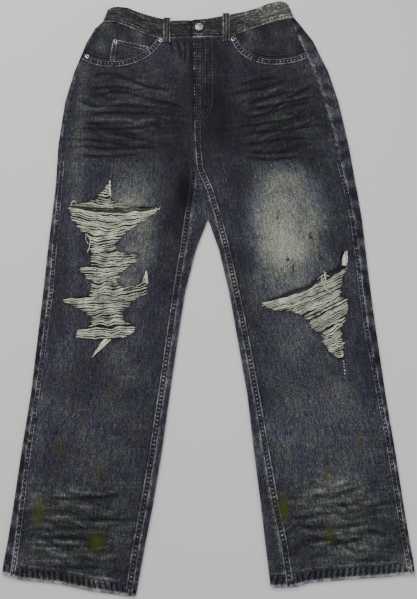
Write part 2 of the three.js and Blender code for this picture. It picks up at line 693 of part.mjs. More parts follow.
// Threads: both torn edges have a narrow strip just behind the cloth, and the threads join them.
function offsetEdge(edge, way, distance) {
  return edge.map(({ x, y }, i) => {
    const before = edge[Math.max(i - 1, 0)];
    const after = edge[Math.min(i + 1, edge.length - 1)];
    const normal = (a, b) => new THREE.Vector2(b.y - a.y, a.x - b.x).normalize();
    const here = { x, y };
    const sum = new THREE.Vector2();
    if (i > 0) sum.add(normal(before, here));
    if (i < edge.length - 1) sum.add(normal(here, after));
    sum.setLength(way * distance);
    return { x: x + sum.x, y: y + sum.y };
  });
}

function rootStrip(edge, way) {
  const near = offsetEdge(edge, way, ROOT_INSET);
  const far = offsetEdge(edge, way, ROOT_INSET + ROOT_WIDTH);
  const low = THREAD_LEVEL - ROOT_WALL / 2;
  return plate(outlineShape([...near, ...far.reverse()]), low, ROOT_WALL);
}

function rootPoint(edge, way, y) {
  const middle = offsetEdge(edge, way, ROOT_INSET + ROOT_WIDTH / 2);
  const rows = edge.map((point, i) => ({ y: point.y, atX: middle[i].x, atY: middle[i].y }));
  return [read(rows, 'y', y, 'atX'), read(rows, 'y', y, 'atY')];
}

function thread([x0, y0], [x1, y1], sag, phase) {
  const points = [0, 0.25, 0.5, 0.75, 1].map((share) => {
    const free = Math.sin(Math.PI * share);
    const wave = THREAD_WAVE * Math.sin(phase + THREAD_TURNS * share) * free;
    const y = lerp(y0, y1, share) - sag * free + wave;
    return new THREE.Vector3(lerp(x0, x1, share), y, THREAD_LEVEL + THREAD_RISE * free ** 4);
  });
  const corners = Array.from({ length: THREAD_SIDES }, (_, i) => {
    const angle = 2 * Math.PI * i / THREAD_SIDES;
    return { x: THREAD_RADIUS * Math.cos(angle), y: THREAD_RADIUS * Math.sin(angle) };
  });
  const extrudePath = new THREE.CatmullRomCurve3(points);
  return new THREE.ExtrudeGeometry(outlineShape(corners), { steps: THREAD_STEPS, extrudePath });
}

function ripThreads(rip, bands) {
  let whole = solid(rootStrip(rip.left, 1));
  rip.right.forEach((edge) => {
    whole = whole.add(solid(rootStrip(edge, -1)));
  });
  bands.forEach((band) => {
    for (let i = 0; i < band.count; i += 1) {
      const share = (i + 0.5) / band.count;
      const from = rootPoint(rip.left, 1, lerp(band.leftFrom, band.leftTo, share));
      const to = rootPoint(rip.right[band.right], -1, lerp(band.rightFrom, band.rightTo, share));
      whole = whole.add(solid(thread(from, to, band.sag, band.leftFrom + i / 2)));
    }
  });
  return surface(whole);
}

// Assembly
const jeans = new THREE.Group();

function add(name, geometry, color, roughness = 0.95, metalness = 0) {
  const material = new THREE.MeshStandardMaterial({ color, roughness, metalness });
  geometry.computeVertexNormals();
  const mesh = new THREE.Mesh(geometry, material);
  mesh.name = name;
  jeans.add(mesh);
}

function addMetal(name, geometry) {
  add(name, geometry, COLOURS.metal, 0.4, 1);
}

add('front_right', front(RIGHT_LEG, RIGHT_FRONT_COLUMNS, RIGHT_MOUTH, RIP_RIGHT, false),
  COLOURS.wornDenim);
add('front_left', front(LEFT_LEG, LEFT_FRONT_COLUMNS, LEFT_MOUTH, RIP_LEFT, true),
  COLOURS.wornDenim);
add('back_right', backPanel(RIGHT_LEG), COLOURS.denim);
add('back_left', backPanel(LEFT_LEG), COLOURS.denim);
add('yoke_right', yoke(RIGHT_LEG), COLOURS.denim);
add('yoke_left', yoke(LEFT_LEG), COLOURS.denim);
add('waistband', waistband(), COLOURS.wornDenim);
add('belt_loop_front_right', frontLoop(FRONT_LOOPS[0]), COLOURS.denim);
add('belt_loop_front_left', frontLoop(FRONT_LOOPS[1]), COLOURS.denim);
add('belt_loop_back_right', backLoop(BACK_LOOPS[0]), COLOURS.denim);
add('belt_loop_centre_back', backLoop(BACK_LOOPS[1]), COLOURS.denim);
add('belt_loop_back_left', backLoop(BACK_LOOPS[2]), COLOURS.denim);
add('pocket_facing_right', facing(RIGHT_LEG, FACING_INNER.right), COLOURS.denim);
add('pocket_facing_left', facing(LEFT_LEG, FACING_INNER.left), COLOURS.denim);
add('coin_pocket', coinPocket(), COLOURS.denim);
add('back_pocket_right', backPocket(BACK_POCKET_MIDDLE.right), COLOURS.denim);
add('back_pocket_left', backPocket(BACK_POCKET_MIDDLE.left), COLOURS.denim);
add('fly_zip', flyZip(), COLOURS.tape);
add('rip_threads_right', ripThreads(RIP_RIGHT, THREADS_RIGHT), COLOURS.thread);
add('rip_threads_left', ripThreads(RIP_LEFT, THREADS_LEFT), COLOURS.thread);
addMetal('waist_button', waistButton());

// Rivets: one for each pocket corner that has one, on the front panel or on the coin pocket.
const PANEL_TOP = TOP_LEVEL + DENIM + SEAM_GAP;
const COIN_TOP = FACING_TOP + 2 * SEAM_GAP + COIN_WALL;
const RIVETS = {
  rivet_pocket_inner_right: [-97, 474, PANEL_TOP],
  rivet_pocket_outer_right: [-244, 437, PANEL_TOP],
  rivet_coin_pocket: [-188.5, 472.5, COIN_TOP],
  rivet_pocket_inner_left: [50, 476, PANEL_TOP],
};
for (const [name, [x, y, base]] of Object.entries(RIVETS)) {
  addMetal(name, turned(RIVET_PROFILE, RIVET_RADIUS, RIVET_HEIGHT, [x, y], base));
}

export default jeans;
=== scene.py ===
# Ripped jeans, laid flat and face up: cloth shells, sewing, frayed yarns and metal on the fixed frame.
# Sizes and places are in millimetres, +Y to the waist and +X to the wearer's left, as in the part's
# source. Meshes are in metres.
import math

import bpy
import numpy as np
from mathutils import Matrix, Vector, geometry


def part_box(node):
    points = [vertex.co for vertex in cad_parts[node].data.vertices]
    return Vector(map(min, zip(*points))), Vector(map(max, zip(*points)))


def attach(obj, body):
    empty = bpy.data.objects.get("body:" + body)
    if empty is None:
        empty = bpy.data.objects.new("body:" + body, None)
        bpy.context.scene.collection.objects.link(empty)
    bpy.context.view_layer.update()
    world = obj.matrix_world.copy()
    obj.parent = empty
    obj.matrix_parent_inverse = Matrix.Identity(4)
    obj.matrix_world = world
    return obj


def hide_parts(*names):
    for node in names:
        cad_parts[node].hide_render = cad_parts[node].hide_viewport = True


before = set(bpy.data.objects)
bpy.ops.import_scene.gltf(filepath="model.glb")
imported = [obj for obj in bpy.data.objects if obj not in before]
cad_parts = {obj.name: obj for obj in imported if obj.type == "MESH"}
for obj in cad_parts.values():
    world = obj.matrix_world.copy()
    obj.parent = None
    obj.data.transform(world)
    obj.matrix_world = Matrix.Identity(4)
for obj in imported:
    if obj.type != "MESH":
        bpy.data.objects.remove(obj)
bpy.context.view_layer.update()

MM = 0.001


# Camera, floor and light: places in metres, the tilt in degrees
LENS, CAMERA_PLACE, CAMERA_TILT = 33.66, (0, -0.2649, 1.01658), 11.398
FLOOR_SIZE, FLOOR_LEVEL, FLOOR_COLOUR, FLOOR_ROUGHNESS = 8, -0.0004, (0.72, 0.72, 0.71, 1), 0.8
SKY_COLOUR, SKY_STRENGTH = (0.95, 0.97, 1, 1), 0.35
LAMPS = (
    ("key", (-0.9, 1.1, 1.7), 1.3, 34, (1, 0.98, 0.95)),
    ("fill", (1.3, -0.7, 1.6), 1.8, 12, (0.94, 0.97, 1)),
    ("top", (0.1, 0.3, 2.4), 1.6, 12, (1, 1, 1)),
)


def set_stage():
    lens = bpy.data.cameras.new("view")
    lens.lens = LENS
    camera = bpy.data.objects.new("view", lens)
    camera.location = CAMERA_PLACE
    camera.rotation_euler = (math.radians(CAMERA_TILT), 0, 0)
    bpy.context.scene.collection.objects.link(camera)
    bpy.context.scene.camera = camera

    bpy.ops.mesh.primitive_plane_add(size=FLOOR_SIZE, location=(0, 0, FLOOR_LEVEL))
    floor = bpy.context.object
    floor.name = "floor"
    paper = bpy.data.materials.new("pale_floor")
    paper.use_nodes = True
    paper.node_tree.nodes["Principled BSDF"].inputs["Base Color"].default_value = FLOOR_COLOUR
    paper.node_tree.nodes["Principled BSDF"].inputs["Roughness"].default_value = FLOOR_ROUGHNESS
    floor.data.materials.append(paper)

    for name, place, size, power, colour in LAMPS:
        lamp = bpy.data.lights.new(name, "AREA")
        lamp.size = size
        lamp.energy = power
        lamp.color = colour
        light = bpy.data.objects.new(name, lamp)
        light.location = place
        light.rotation_euler = (-Vector(place)).to_track_quat("-Z", "Y").to_euler()
        bpy.context.scene.collection.objects.link(light)

    world = bpy.data.worlds.new("studio")
    world.use_nodes = True
    world.node_tree.nodes["Background"].inputs["Color"].default_value = SKY_COLOUR
    world.node_tree.nodes["Background"].inputs["Strength"].default_value = SKY_STRENGTH
    bpy.context.scene.world = world


set_stage()


# Tables of the garment, one named column for each number
def table(columns, *rows):
    return dict(zip(columns.split(), np.array(rows, float).T))


LEG = "y_out y_in bow outer outseam inseam inner"
RIGHT_LEG = table(
    LEG,
    (518, 481, 1, -216, -210.5, -31, -20),
    (505, 470, 0.95, -231.5, -226, -31, -20),
    (474, 444, 0.6, -247.5, -242, -30.5, -20),
    (406, 400, 0.1, -269, -263.5, -30, -20),
    (340, 340, 0, -284, -278.5, -29, -20),
    (245, 245, 0, -293, -287.5, -26, -21),
    (196, 196, 0, -293.5, -288, -22, -22),
    (188, 188, 0, -293.6, -288.1, -22.7, -20.5),
    (150, 150, 0, -294.5, -289, -26, -12.5),
    (96, 96, 0, -298, -291, -34, -1),
    (33, 33, 0, -302, -293, -42, -24),
    (-47, -47, 0, -306, -295, -54, -43),
    (-100, -100, 0, -309, -299, -61, -51),
    (-233, -233, 0, -317, -309, -78, -69),
    (-329, -329, 0, -327, -318, -91, -81),
    (-422, -422, 0, -335, -324, -105, -95.5),
    (-480, -484, 0.3, -341, -328, -116, -107),
    (-509, -543, 1, -345, -330.5, -124, -117),
    (-531, -565, 1, -347, -333, -128, -121),
)
LEFT_LEG = table(
    LEG,
    (528, 481, 1, 175, 165, -31, -20),
    (514, 470, 0.95, 187.5, 173, -31, -20),
    (479, 444, 0.6, 212.5, 185, -30.5, -20),
    (408, 400, 0.1, 240, 212, -30, -20),
    (340, 340, 0, 257.5, 229.5, -29, -20),
    (245, 245, 0, 273.5, 250.5, -26, -21),
    (196, 196, 0, 279.7, 259.5, -22, -22),
    (188, 188, 0, 280.6, 261, -18.3, -20.5),
    (150, 150, 0, 285.5, 268, -2.3, -12.5),
    (96, 96, 0, 291.5, 276.5, 13, -1),
    (33, 33, 0, 295.2, 281.5, 29, 20),
    (-47, -47, 0, 300.2, 286.5, 45, 38),
    (-100, -100, 0, 304.2, 290, 56, 47),
    (-233, -233, 0, 315.8, 307.5, 79, 69),
    (-329, -329, 0, 326.4, 320.5, 94, 79),
    (-422, -422, 0, 335.4, 329.9, 109, 90),
    (-480, -485, 0.3, 341.6, 336.1, 122, 96.5),
    (-509, -530, 1, 345.4, 339.9, 128, 101.5),
    (-531, -552, 1, 347, 341.5, 131, 104),
)
# Rows of the leg tables, and the yoke's lower edge: its row and its drop at the middle of the back
CROTCH, FLAP_TOP, BEFORE_APEX, HEM = 6, 7, 8, 18
YOKE_AT, YOKE_DROP = 2.35, 26

XY = "x y"
WAIST_SEAM = table(
    XY, (-216, 518), (-191, 517), (-163, 506), (-135, 492), (-111, 482.5), (-78, 479.5), (-31, 481),
    (23, 482), (48, 485), (74, 496), (104, 507), (130, 517), (164, 526), (175, 528),
)
WAIST_TOP = table(
    XY, (-207, 540), (-203, 547), (-196, 551), (-186, 552), (-167, 550), (-145, 540), (-120, 531),
    (-99, 525), (-75, 519.5), (-33, 521), (-7, 523), (26, 530), (75, 541), (104, 550), (122, 559),
    (147, 565), (158, 562), (165, 552),
)
HEM_LINE = table(
    XY, (-347, -531), (-312, -540.5), (-248, -546.5), (-197, -557), (-140, -564.5), (-121, -565),
    (104, -552), (146, -551), (169, -545), (237, -539.5), (295, -536), (347, -531),
)

# Creases raised or sunk in the front panels: ends, y of the middle, height and half width
CREASES = table(
    "x0 y0 middle x1 y1 height width",
    (-230, 371, 378, -62, 348, 2.1, 9),
    (-240, 351, 361, -46, 325, -1.1, 6),
    (-224, 338, 336, -60, 320, 1.7, 8),
    (-258, 342, 329, -198, 331, -0.9, 5),
    (-262, 322, 322, -160, 325, 1.6, 7),
    (-255, 310, 316, -60, 313, -1, 6),
    (-250, 300, 298, -75, 301, 1.8, 8),
    (-244, 293, 289, -190, 292, -0.8, 5),
    (-240, 262, 256, -98, 246, 1.4, 8),
    (-274, 242, 238, -85, 241, -1, 7),
    (-268, 226, 225, -100, 229, 1.1, 8),
    (50, 343, 357, 166, 377, 1.9, 8),
    (44, 354, 368, 160, 390, -0.9, 6),
    (72, 323, 336, 190, 352, 1.8, 8),
    (150, 342, 356, 208, 377, -0.9, 5),
    (62, 303, 317, 206, 337, -1.1, 6),
    (74, 288, 299, 208, 317, 1.8, 9),
    (62, 261, 277, 216, 288, -1, 7),
    (80, 248, 256, 222, 266, 1.3, 9),
    (80, 231, 230, 160, 233, -0.8, 7),
    (-282, -180, -200, -120, -192, 0.8, 22),
    (120, -206, -196, 262, -214, 0.8, 22),
    (-288, -421, -416, -138, -423, 2, 8),
    (-284, -431, -432, -150, -438, -1, 6),
    (-276, -437, -448, -160, -456, 1.6, 7),
    (-292, -466, -464, -166, -460, 1.9, 8),
    (-284, -478, -484, -180, -476, -1, 7),
    (-286, -489, -502, -160, -514, 2, 8),
    (160, -404, -396, 258, -371, 2, 8),
    (186, -424, -424, 264, -416, -1, 6),
    (132, -442, -440, 228, -431, -1, 6),
    (186, -434, -434, 262, -428, 1.3, 6),
    (156, -463, -460, 240, -467, 1.9, 8),
    (210, -481, -478, 272, -470, -0.9, 6),
    (212, -497, -498, 276, -479, 1.7, 7),
)

# Whisker lines: places along each, dark ones in the folds and light ones on worn crests
DARK_LINES = (
    [(-209, 384), (-181, 390), (-157, 386), (-127, 372), (-97, 366), (-77, 364)],
    [(-239, 351), (-215, 353), (-192, 361), (-172, 361), (-146, 353), (-116, 344), (-76, 335),
    (-46, 324)],
    [(-255, 342), (-238, 333), (-224, 329), (-199, 332)],
    [(-253, 312), (-233, 307), (-214, 314), (-190, 316), (-155, 314), (-115, 314), (-86, 312),
    (-60, 314)],
    [(-243, 294), (-223, 290), (-197, 292)],
    [(-193, 271), (-163, 265), (-134, 258), (-104, 254)],
    [(-274, 243), (-231, 243), (-201, 239), (-153, 239), (-114, 241), (-85, 241)],
    [(45, 353), (73, 361), (102, 367), (133, 377), (159, 390)],
    [(78, 335), (106, 344), (132, 351), (158, 361)],
    [(152, 342), (172, 355), (192, 366), (208, 377)],
    [(62, 303), (105, 309), (131, 318), (157, 327), (181, 333), (205, 337)],
    [(170, 305), (180, 314), (190, 320)],
    [(62, 260), (91, 273), (120, 275), (160, 279), (199, 286), (215, 288)],
    [(81, 231), (129, 231), (158, 233)],
    [(-79, 474), (-74, 458), (-70, 444)], [(-64, 476), (-58, 455), (-55, 432)],
    [(-50, 476), (-46, 450), (-48, 420)],
    [(-38, 474), (-36, 440), (-37, 405)], [(-232, 396), (-200, 399), (-170, 396)],
    [(-236, 366), (-190, 372), (-150, 366)],
    [(-240, 326), (-180, 330), (-100, 326)], [(-250, 282), (-180, 280), (-110, 284)],
    [(-262, 258), (-220, 256), (-160, 248)],
    [(-265, 226), (-200, 222), (-130, 226)], [(90, 320), (140, 332), (200, 346)],
    [(60, 284), (110, 292), (190, 304)],
    [(66, 246), (120, 254), (190, 262)], [(70, 222), (120, 216), (180, 222)],
    [(60, 374), (100, 386), (140, 392)],
    [(-306, -429), (-254, -430), (-213, -438)], [(-253, -457), (-210, -458), (-164, -461)],
    [(-293, -474), (-257, -473), (-218, -473)], [(-285, -485), (-239, -487), (-192, -488)],
    [(-266, -518), (-224, -520), (-179, -521)], [(-254, -444), (-185, -444), (-137, -445)],
    [(-290, -408), (-220, -410), (-150, -404)], [(150, -452), (200, -458), (270, -450)],
    [(170, -408), (220, -402), (268, -390)], [(156, -478), (200, -476), (236, -480)],
    [(191, -424), (216, -423), (260, -417)],
    [(136, -442), (163, -441), (187, -437), (225, -432)],
    [(205, -482), (240, -480), (268, -470)],
)
LIGHT_LINES = (
    [(-310, -421), (-263, -423), (-198, -423), (-138, -423)],
    [(-291, -438), (-249, -441), (-219, -450), (-202, -451)],
    [(-300, -466), (-269, -467), (-244, -463), (-222, -466), (-196, -465), (-168, -458)],
    [(-258, -481), (-231, -480), (-201, -481)], [(-234, -494), (-195, -490), (-167, -488)],
    [(-285, -489), (-259, -496), (-234, -505), (-205, -511), (-162, -513)],
    [(-307, -510), (-263, -511)], [(-212, -432), (-189, -432)],
    [(-240, -398), (-190, -402), (-150, -400)],
    [(140, -432), (190, -428), (240, -440), (272, -436)], [(150, -448), (180, -446), (210, -446)],
    [(180, -490), (230, -486), (270, -474)],
    [(164, -403), (202, -396), (225, -384), (252, -373)],
    [(162, -463), (205, -462), (232, -466)],
    [(215, -496), (245, -495), (270, -481)],
    [(-72, 474), (-66, 452)], [(-57, 474), (-51, 448)], [(-44, 474), (-43, 436)],
    [(-29, 480), (-29, 400), (-28.6, 300)], [(-28.6, 300), (-26, 250), (-24, 200)],
    [(-12, 470), (-11, 400), (-13, 352)], [(-5, 468), (-5, 420)],
    [(-230, 374), (-150, 372), (-70, 352)],
    [(-262, 322), (-210, 323), (-160, 325)],
    [(-224, 343), (-140, 334), (-70, 324)],
    [(-250, 301), (-160, 298), (-80, 303)],
    [(60, 345), (106, 356), (160, 374)],
    [(76, 326), (130, 337), (188, 351)],
    [(78, 290), (140, 302), (206, 316)],
)

# Fine strands over the lower legs: their area, slope and number
STRAND_AREAS = table(
    "x0 x1 y0 y1 slope count",
    (-318, -156, -522, -404, -0.05, 34),
    (134, 318, -512, -396, 0.12, 38),
)
STRAND_SEED = 81

# Soft areas of wear and of painted shade (a crease's shadow by the crotch, the fork between the legs and
# the fly's edge): middle, reach across and along, how much lighter (or darker), and how steep
WEAR_AND_SHADE_AREAS = table(
    "x y across along amount power",
    (-150, 146, 54, 62, 0.11, 4),
    (-144, 55, 44, 116, 0.18, 5),
    (-196, 120, 44, 50, 0.06, 2.4),
    (146, 104, 76, 100, 0.30, 5),
    (128, 70, 44, 90, 0.08, 3),
    (138, 2, 54, 64, 0.12, 3),
    (180, -5, 66, 60, 0.12, 3),
    (150, -110, 60, 60, 0.10, 2.4),
    (-165, -120, 80, 70, 0.05, 2.4),
    (8, 400, 40, 120, -0.17, 3),
    (22, 290, 34, 80, -0.09, 3),
    (-50, 230, 42, 110, -0.09, 3),
    (-64, 70, 26, 90, -0.06, 3),
    (60, 160, 26, 90, -0.05, 3),
    # Painted shade: a deep crease's shadow left of the crotch, then the fork between the legs
    (-44, 150, 15, 36, -0.30, 2.4),
    (-14, 140, 9, 34, -0.14, 2.4),
    (-150, 320, 120, 110, -0.05, 4),
    (140, 300, 100, 110, -0.07, 4),
    (-215, -455, 95, 70, 0.03, 4),
    (228, -446, 110, 78, 0.07, 4),
    (200, -290, 100, 110, 0.13, 3),
    (190, -150, 80, 60, 0.02, 3),
    (-225, -290, 100, 110, 0.06, 3),
    (-338, -505, 26, 24, 0.22, 3),
    (-184, -548, 26, 20, 0.16, 3),
    (334, -528, 26, 24, 0.20, 3),
    # Painted shadow along the fly's edge
    (-29.5, 390, 5, 110, -0.14, 6),
    (150, 180, 44, 16, 0.05, 2),
    (-252, 200, 14, 300, 0.08, 4),
    (-300, -250, 14, 260, 0.06, 4),
)
# Where fine folds cross the cloth
WHISK_AREAS = table(
    "x y across along amount",
    (-160, 305, 112, 96, 1.1),
    (140, 300, 98, 98, 1.1),
    (-225, -462, 125, 86, 1.2),
    (228, -448, 125, 90, 1.2),
    (-142, 62, 52, 118, 0.45),
    (-170, -160, 90, 60, 0.3),
)
# Olive stains
STAINS = table(
    "x y across along amount",
    (-251, -213, 6, 13, 0.5), (-180, -235, 6, 12, 0.4), (-220, -276, 5, 12, 0.5),
    (-261, -329, 7, 13, 0.6),
    (-191, -369, 6, 13, 0.6), (-291, -435, 10, 17, 1.1), (-190, -480, 11, 17, 1.1),
    (216, -230, 6, 12, 0.4),
    (261, -233, 5, 12, 0.4), (265, -322, 6, 14, 0.6), (205, -371, 6, 15, 0.7), (130, -426, 9, 19, 1.3),
    (206, -466, 9, 15, 0.9), (263, -426, 7, 14, 0.6),
)

# The rips: torn edges from top to bottom, and the edge without threads between the right edges
RIP_RIGHT = {
    "left": [
        (-193, 167), (-202, 152), (-215, 136), (-226, 127), (-262, 124), (-263, 110), (-252, 90),
        (-243, 74), (-229, 61), (-221, 46), (-218, 22), (-219, 4), (-239, 1), (-241, -7),
        (-223, -20), (-214, -28), (-213, -48), (-222, -55), (-264, -59), (-265, -66), (-234, -79),
        (-216, -90), (-213, -106), (-221, -114), (-238, -118), (-243, -131), (-204, -134),
    ],
    "right": [
        [
            (-189, 167), (-189, 147), (-186, 132), (-162, 121), (-101, 118), (-103, 108), (-130, 88),
            (-155, 71), (-170, 52), (-179, 40), (-172, 30), (-133, 25), (-134, 13), (-158, -5),
            (-169, -14), (-174, -27), (-154, -43),
        ],
        [
            (-113, -15), (-114, -50), (-134, -58), (-146, -70), (-157, -84), (-156, -100),
            (-135, -111), (-134, -122), (-160, -134),
        ],
    ],
    "notch": [(-121, -25), (-130, -33), (-143, -41)],
}
RIP_LEFT = {
    "left": [
        (103, -66), (105, -75), (128, -82), (154, -83), (172, -91), (186, -99), (189, -116),
        (208, -124), (210, -144), (219, -157), (236, -170),
    ],
    "right": [[
        (258, 30), (257, 8), (250, -14), (243, -44), (243, -55), (256, -59), (256, -79), (248, -99),
        (241, -112), (243, -140), (243, -166), (240, -170.5),
    ]],
    "notch": [
        (250, 30), (247, 6), (240, -2), (218, -11), (205, -17), (188, -33), (168, -40), (150, -45),
        (131, -55),
    ],
}

# Bands of yarn: the heights of their ends, sag, right edge, bundles, yarns and dimness (painted shade,
# deepest in the shadowed slot under the top bands)
BANDS = "left_from left_to right_from right_to sag edge bundles yarns dim"
BANDS_RIGHT = table(
    BANDS,
    (166, 141, 165, 141, 1, 0, 6, 34, 0.05),
    (140, 121, 140, 119, 3, 0, 5, 32, 0.1),
    (121, 109, 118, 110, 4, 0, 5, 15, 0.62),
    (119, 64, 115, 69, 11, 0, 12, 104, 0),
    (63, 33, 66, 37, 4, 0, 6, 50, 0.05),
    (32, 5, 31, 4, 3, 0, 6, 48, 0),
    (3, -24, 3, -20, 3, 0, 6, 48, 0.05),
    (-25, -48, -21, -42, 2, 0, 5, 42, 0.1),
    (-44, -54, -24, -52, 7, 1, 5, 34, 0.1),
    (-57, -77, -53, -70, 2, 1, 5, 42, 0),
    (-79, -113, -71, -108, -2, 1, 8, 62, 0.08),
    (-115, -133, -110, -132, 1, 1, 5, 44, 0),
)
BANDS_LEFT = table(
    BANDS,
    (-66, -70, 2, -10, 11, 0, 2, 16, 0),
    (-70, -84, -10, -44, 4, 0, 7, 50, 0),
    (-84, -102, -44, -66, 2, 0, 5, 44, 0.05),
    (-102, -122, -66, -97, 1, 0, 8, 50, 0.05),
    (-123, -145, -98, -131, 1, 0, 10, 60, 0),
    (-146, -169, -132, -167, 0, 0, 9, 66, 0),
)

# Edges of the waistband, pockets and loops
BAND_BOTTOM = {"line": WAIST_SEAM, "left": -216, "right": 175, "gap": 0.15}
BAND_EDGE = {"line": WAIST_TOP, "left": -207, "right": 165, "gap": 0}
MOUTH_RIGHT = ((-253, 445), (-215, 414), (-130, 418), (-102, 482))
MOUTH_LEFT = ((200, 448), (165, 427), (72, 412), (54, 489))
COIN_CORNERS = ((-200, 419), (-124, 419), (-122, 461), (-194, 479))
POCKET_MIDDLES = {"right": -140, "left": 98}
BACK_POCKET = ((-64, 304), (0, 276), (64, 304), (70, 426), (-70, 426))
LOOP_HALF = 7
FRONT_LOOPS = {"belt_loop_front_right": (-84.5, 469.5, 524.2), "belt_loop_front_left": (36, 471, 534.6)}
BACK_LOOPS = {
    "belt_loop_back_right": (-118, 470, 530),
    "belt_loop_centre_back": (-20, 468, 520),
    "belt_loop_back_left": (84, 478, 542),
}

# Walls, gaps and radii of the cloth, its levels over the surface, and widths of its sewn parts
DENIM, BAND_WALL, FACING_WALL, LOOP_WALL, PATCH_WALL = 1.5, 2.4, 1.1, 1.25, 1.4
SEAM_GAP, FOLD_RADIUS, BAND_RADIUS = 0.3, 3.2, 3.5
FRONT_LEVEL, TOP_LEVEL, SEAT_RAISE, SEAT_START, SEAT_FULL = 3.0, 6.5, 1.7, 170, 270
FELL_WIDTH, HEM_HEIGHT, FLY_END, CROTCH_Y = 10.6, 21.5, 305, 196
FELL_RAISE, HEM_RAISE, FLY_RAISE, MOUTH_RAISE = 0.7, 0.9, 0.9, 0.5

# Spacing of a panel's places, width of its rim, and a length beyond the whole garment
GRID, RIM, BEYOND = 3.3, 1.4, 700
WAVES = 9  # that make up uneven cloth

# How far rows of sewing lie from their seam or edge, the pitch of stitches, the radii of yarns,
# and the shares of yarns that stray and of bundles that end on top of the cloth
MOUTH_ROWS, SEAM_ROWS, COIN_ROWS = (2.2, 8.4), (2.4, 8.6), (2.4, 7.6)
POCKET_ROWS, LOOP_ROWS, HEM_ROW = (2.2, 8.2), (-4.4, 4.4), 19.5
FRONT_PITCH, BACK_PITCH = 3.3, 3.5
THREAD_RADIUS, YARN_RADIUS, WARP_RADIUS, NICK_RADIUS = 0.34, 0.42, 0.3, 0.66
STRAY_SHARE, OVER_SHARE = 0.07, 0.6


def smooth(value, low, high):
    share = np.clip((value - low) / (high - low), 0, 1)
    return share * share * (3 - 2 * share)


def fading(gap, reach):
    """1 at no gap, falling softly to 0 beyond a reach."""
    return np.exp(-((gap / reach) ** 2))


def rolled(gap, reach):
    """1 on the edge of cloth, rounding off to 0 at a reach from it."""
    return 1 - np.sqrt(np.clip(gap / reach, 0, 1))


def seat_raise(y):
    """How far the seat, with its pockets, holds the cloth off the surface."""
    return SEAT_RAISE * smooth(y, SEAT_START, SEAT_FULL)


def side_of(leg):
    """-1 for the wearer's right leg, 1 for the left."""
    return np.sign(leg["outer"][0])


def section(leg, at):
    """A leg's table read at a row, which may lie between two."""
    return {name: np.interp(at, np.arange(HEM + 1), values) for name, values in leg.items()}


def section_y(leg, at, x):
    """The height of a leg's row at x, bowed to the waist's or hem's own line near them."""
    at, x = np.broadcast_arrays(np.asarray(at, float), np.asarray(x, float))
    cut = section(leg, at)
    high = at < CROTCH

    def straight(row):
        slope = (row["y_out"] - row["y_in"]) / (row["outer"] - row["inner"])
        return row["y_in"] + slope * (x - row["inner"])

    waist = np.interp(x, WAIST_SEAM["x"], WAIST_SEAM["y"]) - straight(section(leg, 0))
    hem = np.interp(x, HEM_LINE["x"], HEM_LINE["y"]) - straight(section(leg, HEM))
    return straight(cut) + cut["bow"] * np.clip(np.where(high, waist, hem), -18, 6)


# Lines: places are rows of x, y
def lengths_along(rows):
    """How far each place of a line, or of each of some lines, lies along it."""
    steps = np.linalg.norm(np.diff(rows, axis=-2), axis=-1)
    return np.concatenate([np.zeros((*steps.shape[:-1], 1)), np.cumsum(steps, axis=-1)], axis=-1)


def resample(line, step):
    line = np.asarray(line, float)
    lengths = lengths_along(line)
    count = max(int(round(lengths[-1] / step)), 1)
    spots = np.linspace(0, lengths[-1], count + 1)
    return np.stack([np.interp(spots, lengths, line[:, i]) for i in range(line.shape[1])], 1)


def rounded(line, step):
    """A smooth line through a few places."""
    line = np.asarray(line, float)
    spots = np.arange(len(line))
    fine = np.linspace(0, len(line) - 1, 24 * (len(line) - 1) + 1)
    slopes = np.gradient(line, axis=0)
    i = np.clip(fine.astype(int), 0, len(line) - 2)
    t = (fine - spots[i])[:, None]
    a, b, ma, mb = line[i], line[i + 1], slopes[i], slopes[i + 1]
    curve = (2 * t**3 - 3 * t**2 + 1) * a + (t**3 - 2 * t**2 + t) * ma
    curve += (3 * t**2 - 2 * t**3) * b + (t**3 - t**2) * mb
    return resample(curve, step)


def bezier(a, b, c, d, count=60):
    t = np.linspace(0, 1, count + 1)[:, None]
    a, b, c, d = (np.array(p, float) for p in (a, b, c, d))
    return (1 - t) ** 3 * a + 3 * t * (1 - t) ** 2 * b + 3 * t * t * (1 - t) * c + t**3 * d


def distance_to(line, x, y):
    """How far places lie from a line, and how far along it their nearest place is, from 0 to 1."""
    line = np.asarray(line, float)
    best = np.full(x.shape, 1e9)
    along = np.zeros(x.shape)
    total = lengths_along(line)[-1]
    done = 0
    for a, b in zip(line[:-1], line[1:]):
        way = b - a
        length = np.hypot(*way)
        share = np.clip(((x - a[0]) * way[0] + (y - a[1]) * way[1]) / max(length**2, 1e-9), 0, 1)
        gap = np.hypot(x - a[0] - share * way[0], y - a[1] - share * way[1])
        near = gap < best
        best = np.where(near, gap, best)
        along = np.where(near, (done + share * length) / total, along)
        done += length
    return best, along


def inside(line, x, y):
    """Which places lie inside a closed line."""
    line = np.asarray(line, float)
    result = np.zeros(x.shape, bool)
    for (ax, ay), (bx, by) in zip(line, np.roll(line, -1, axis=0)):
        if ay == by:
            continue
        crosses = (y < ay) != (y < by)
        result ^= crosses & (x < ax + (y - ay) * (bx - ax) / (by - ay))
    return result


def unit(ways):
    return ways / np.maximum(np.linalg.norm(ways, axis=-1, keepdims=True), 1e-9)


def sideways(line):
    """The way to the left of a line at each of its places."""
    way = unit(np.gradient(np.asarray(line, float), axis=0))
    return np.stack([-way[:, 1], way[:, 0]], 1)


def shifted(line, distance):
    """A line moved sideways, to the left of its way for a positive distance."""
    return line + distance * sideways(line)


def bumps(x, y, reach, seed):
    """Soft uneven heights from -1 to 1, some reach apart."""
    draw = np.random.default_rng(seed)
    total = np.zeros(np.shape(x))
    for _ in range(WAVES):
        turn, phase = draw.uniform(0, 2 * np.pi, 2)
        pace = 2 * np.pi / (reach * draw.uniform(0.7, 1.6))
        total = total + np.sin(pace * (x * np.cos(turn) + y * np.sin(turn)) + phase)
    return total / (WAVES / 2)


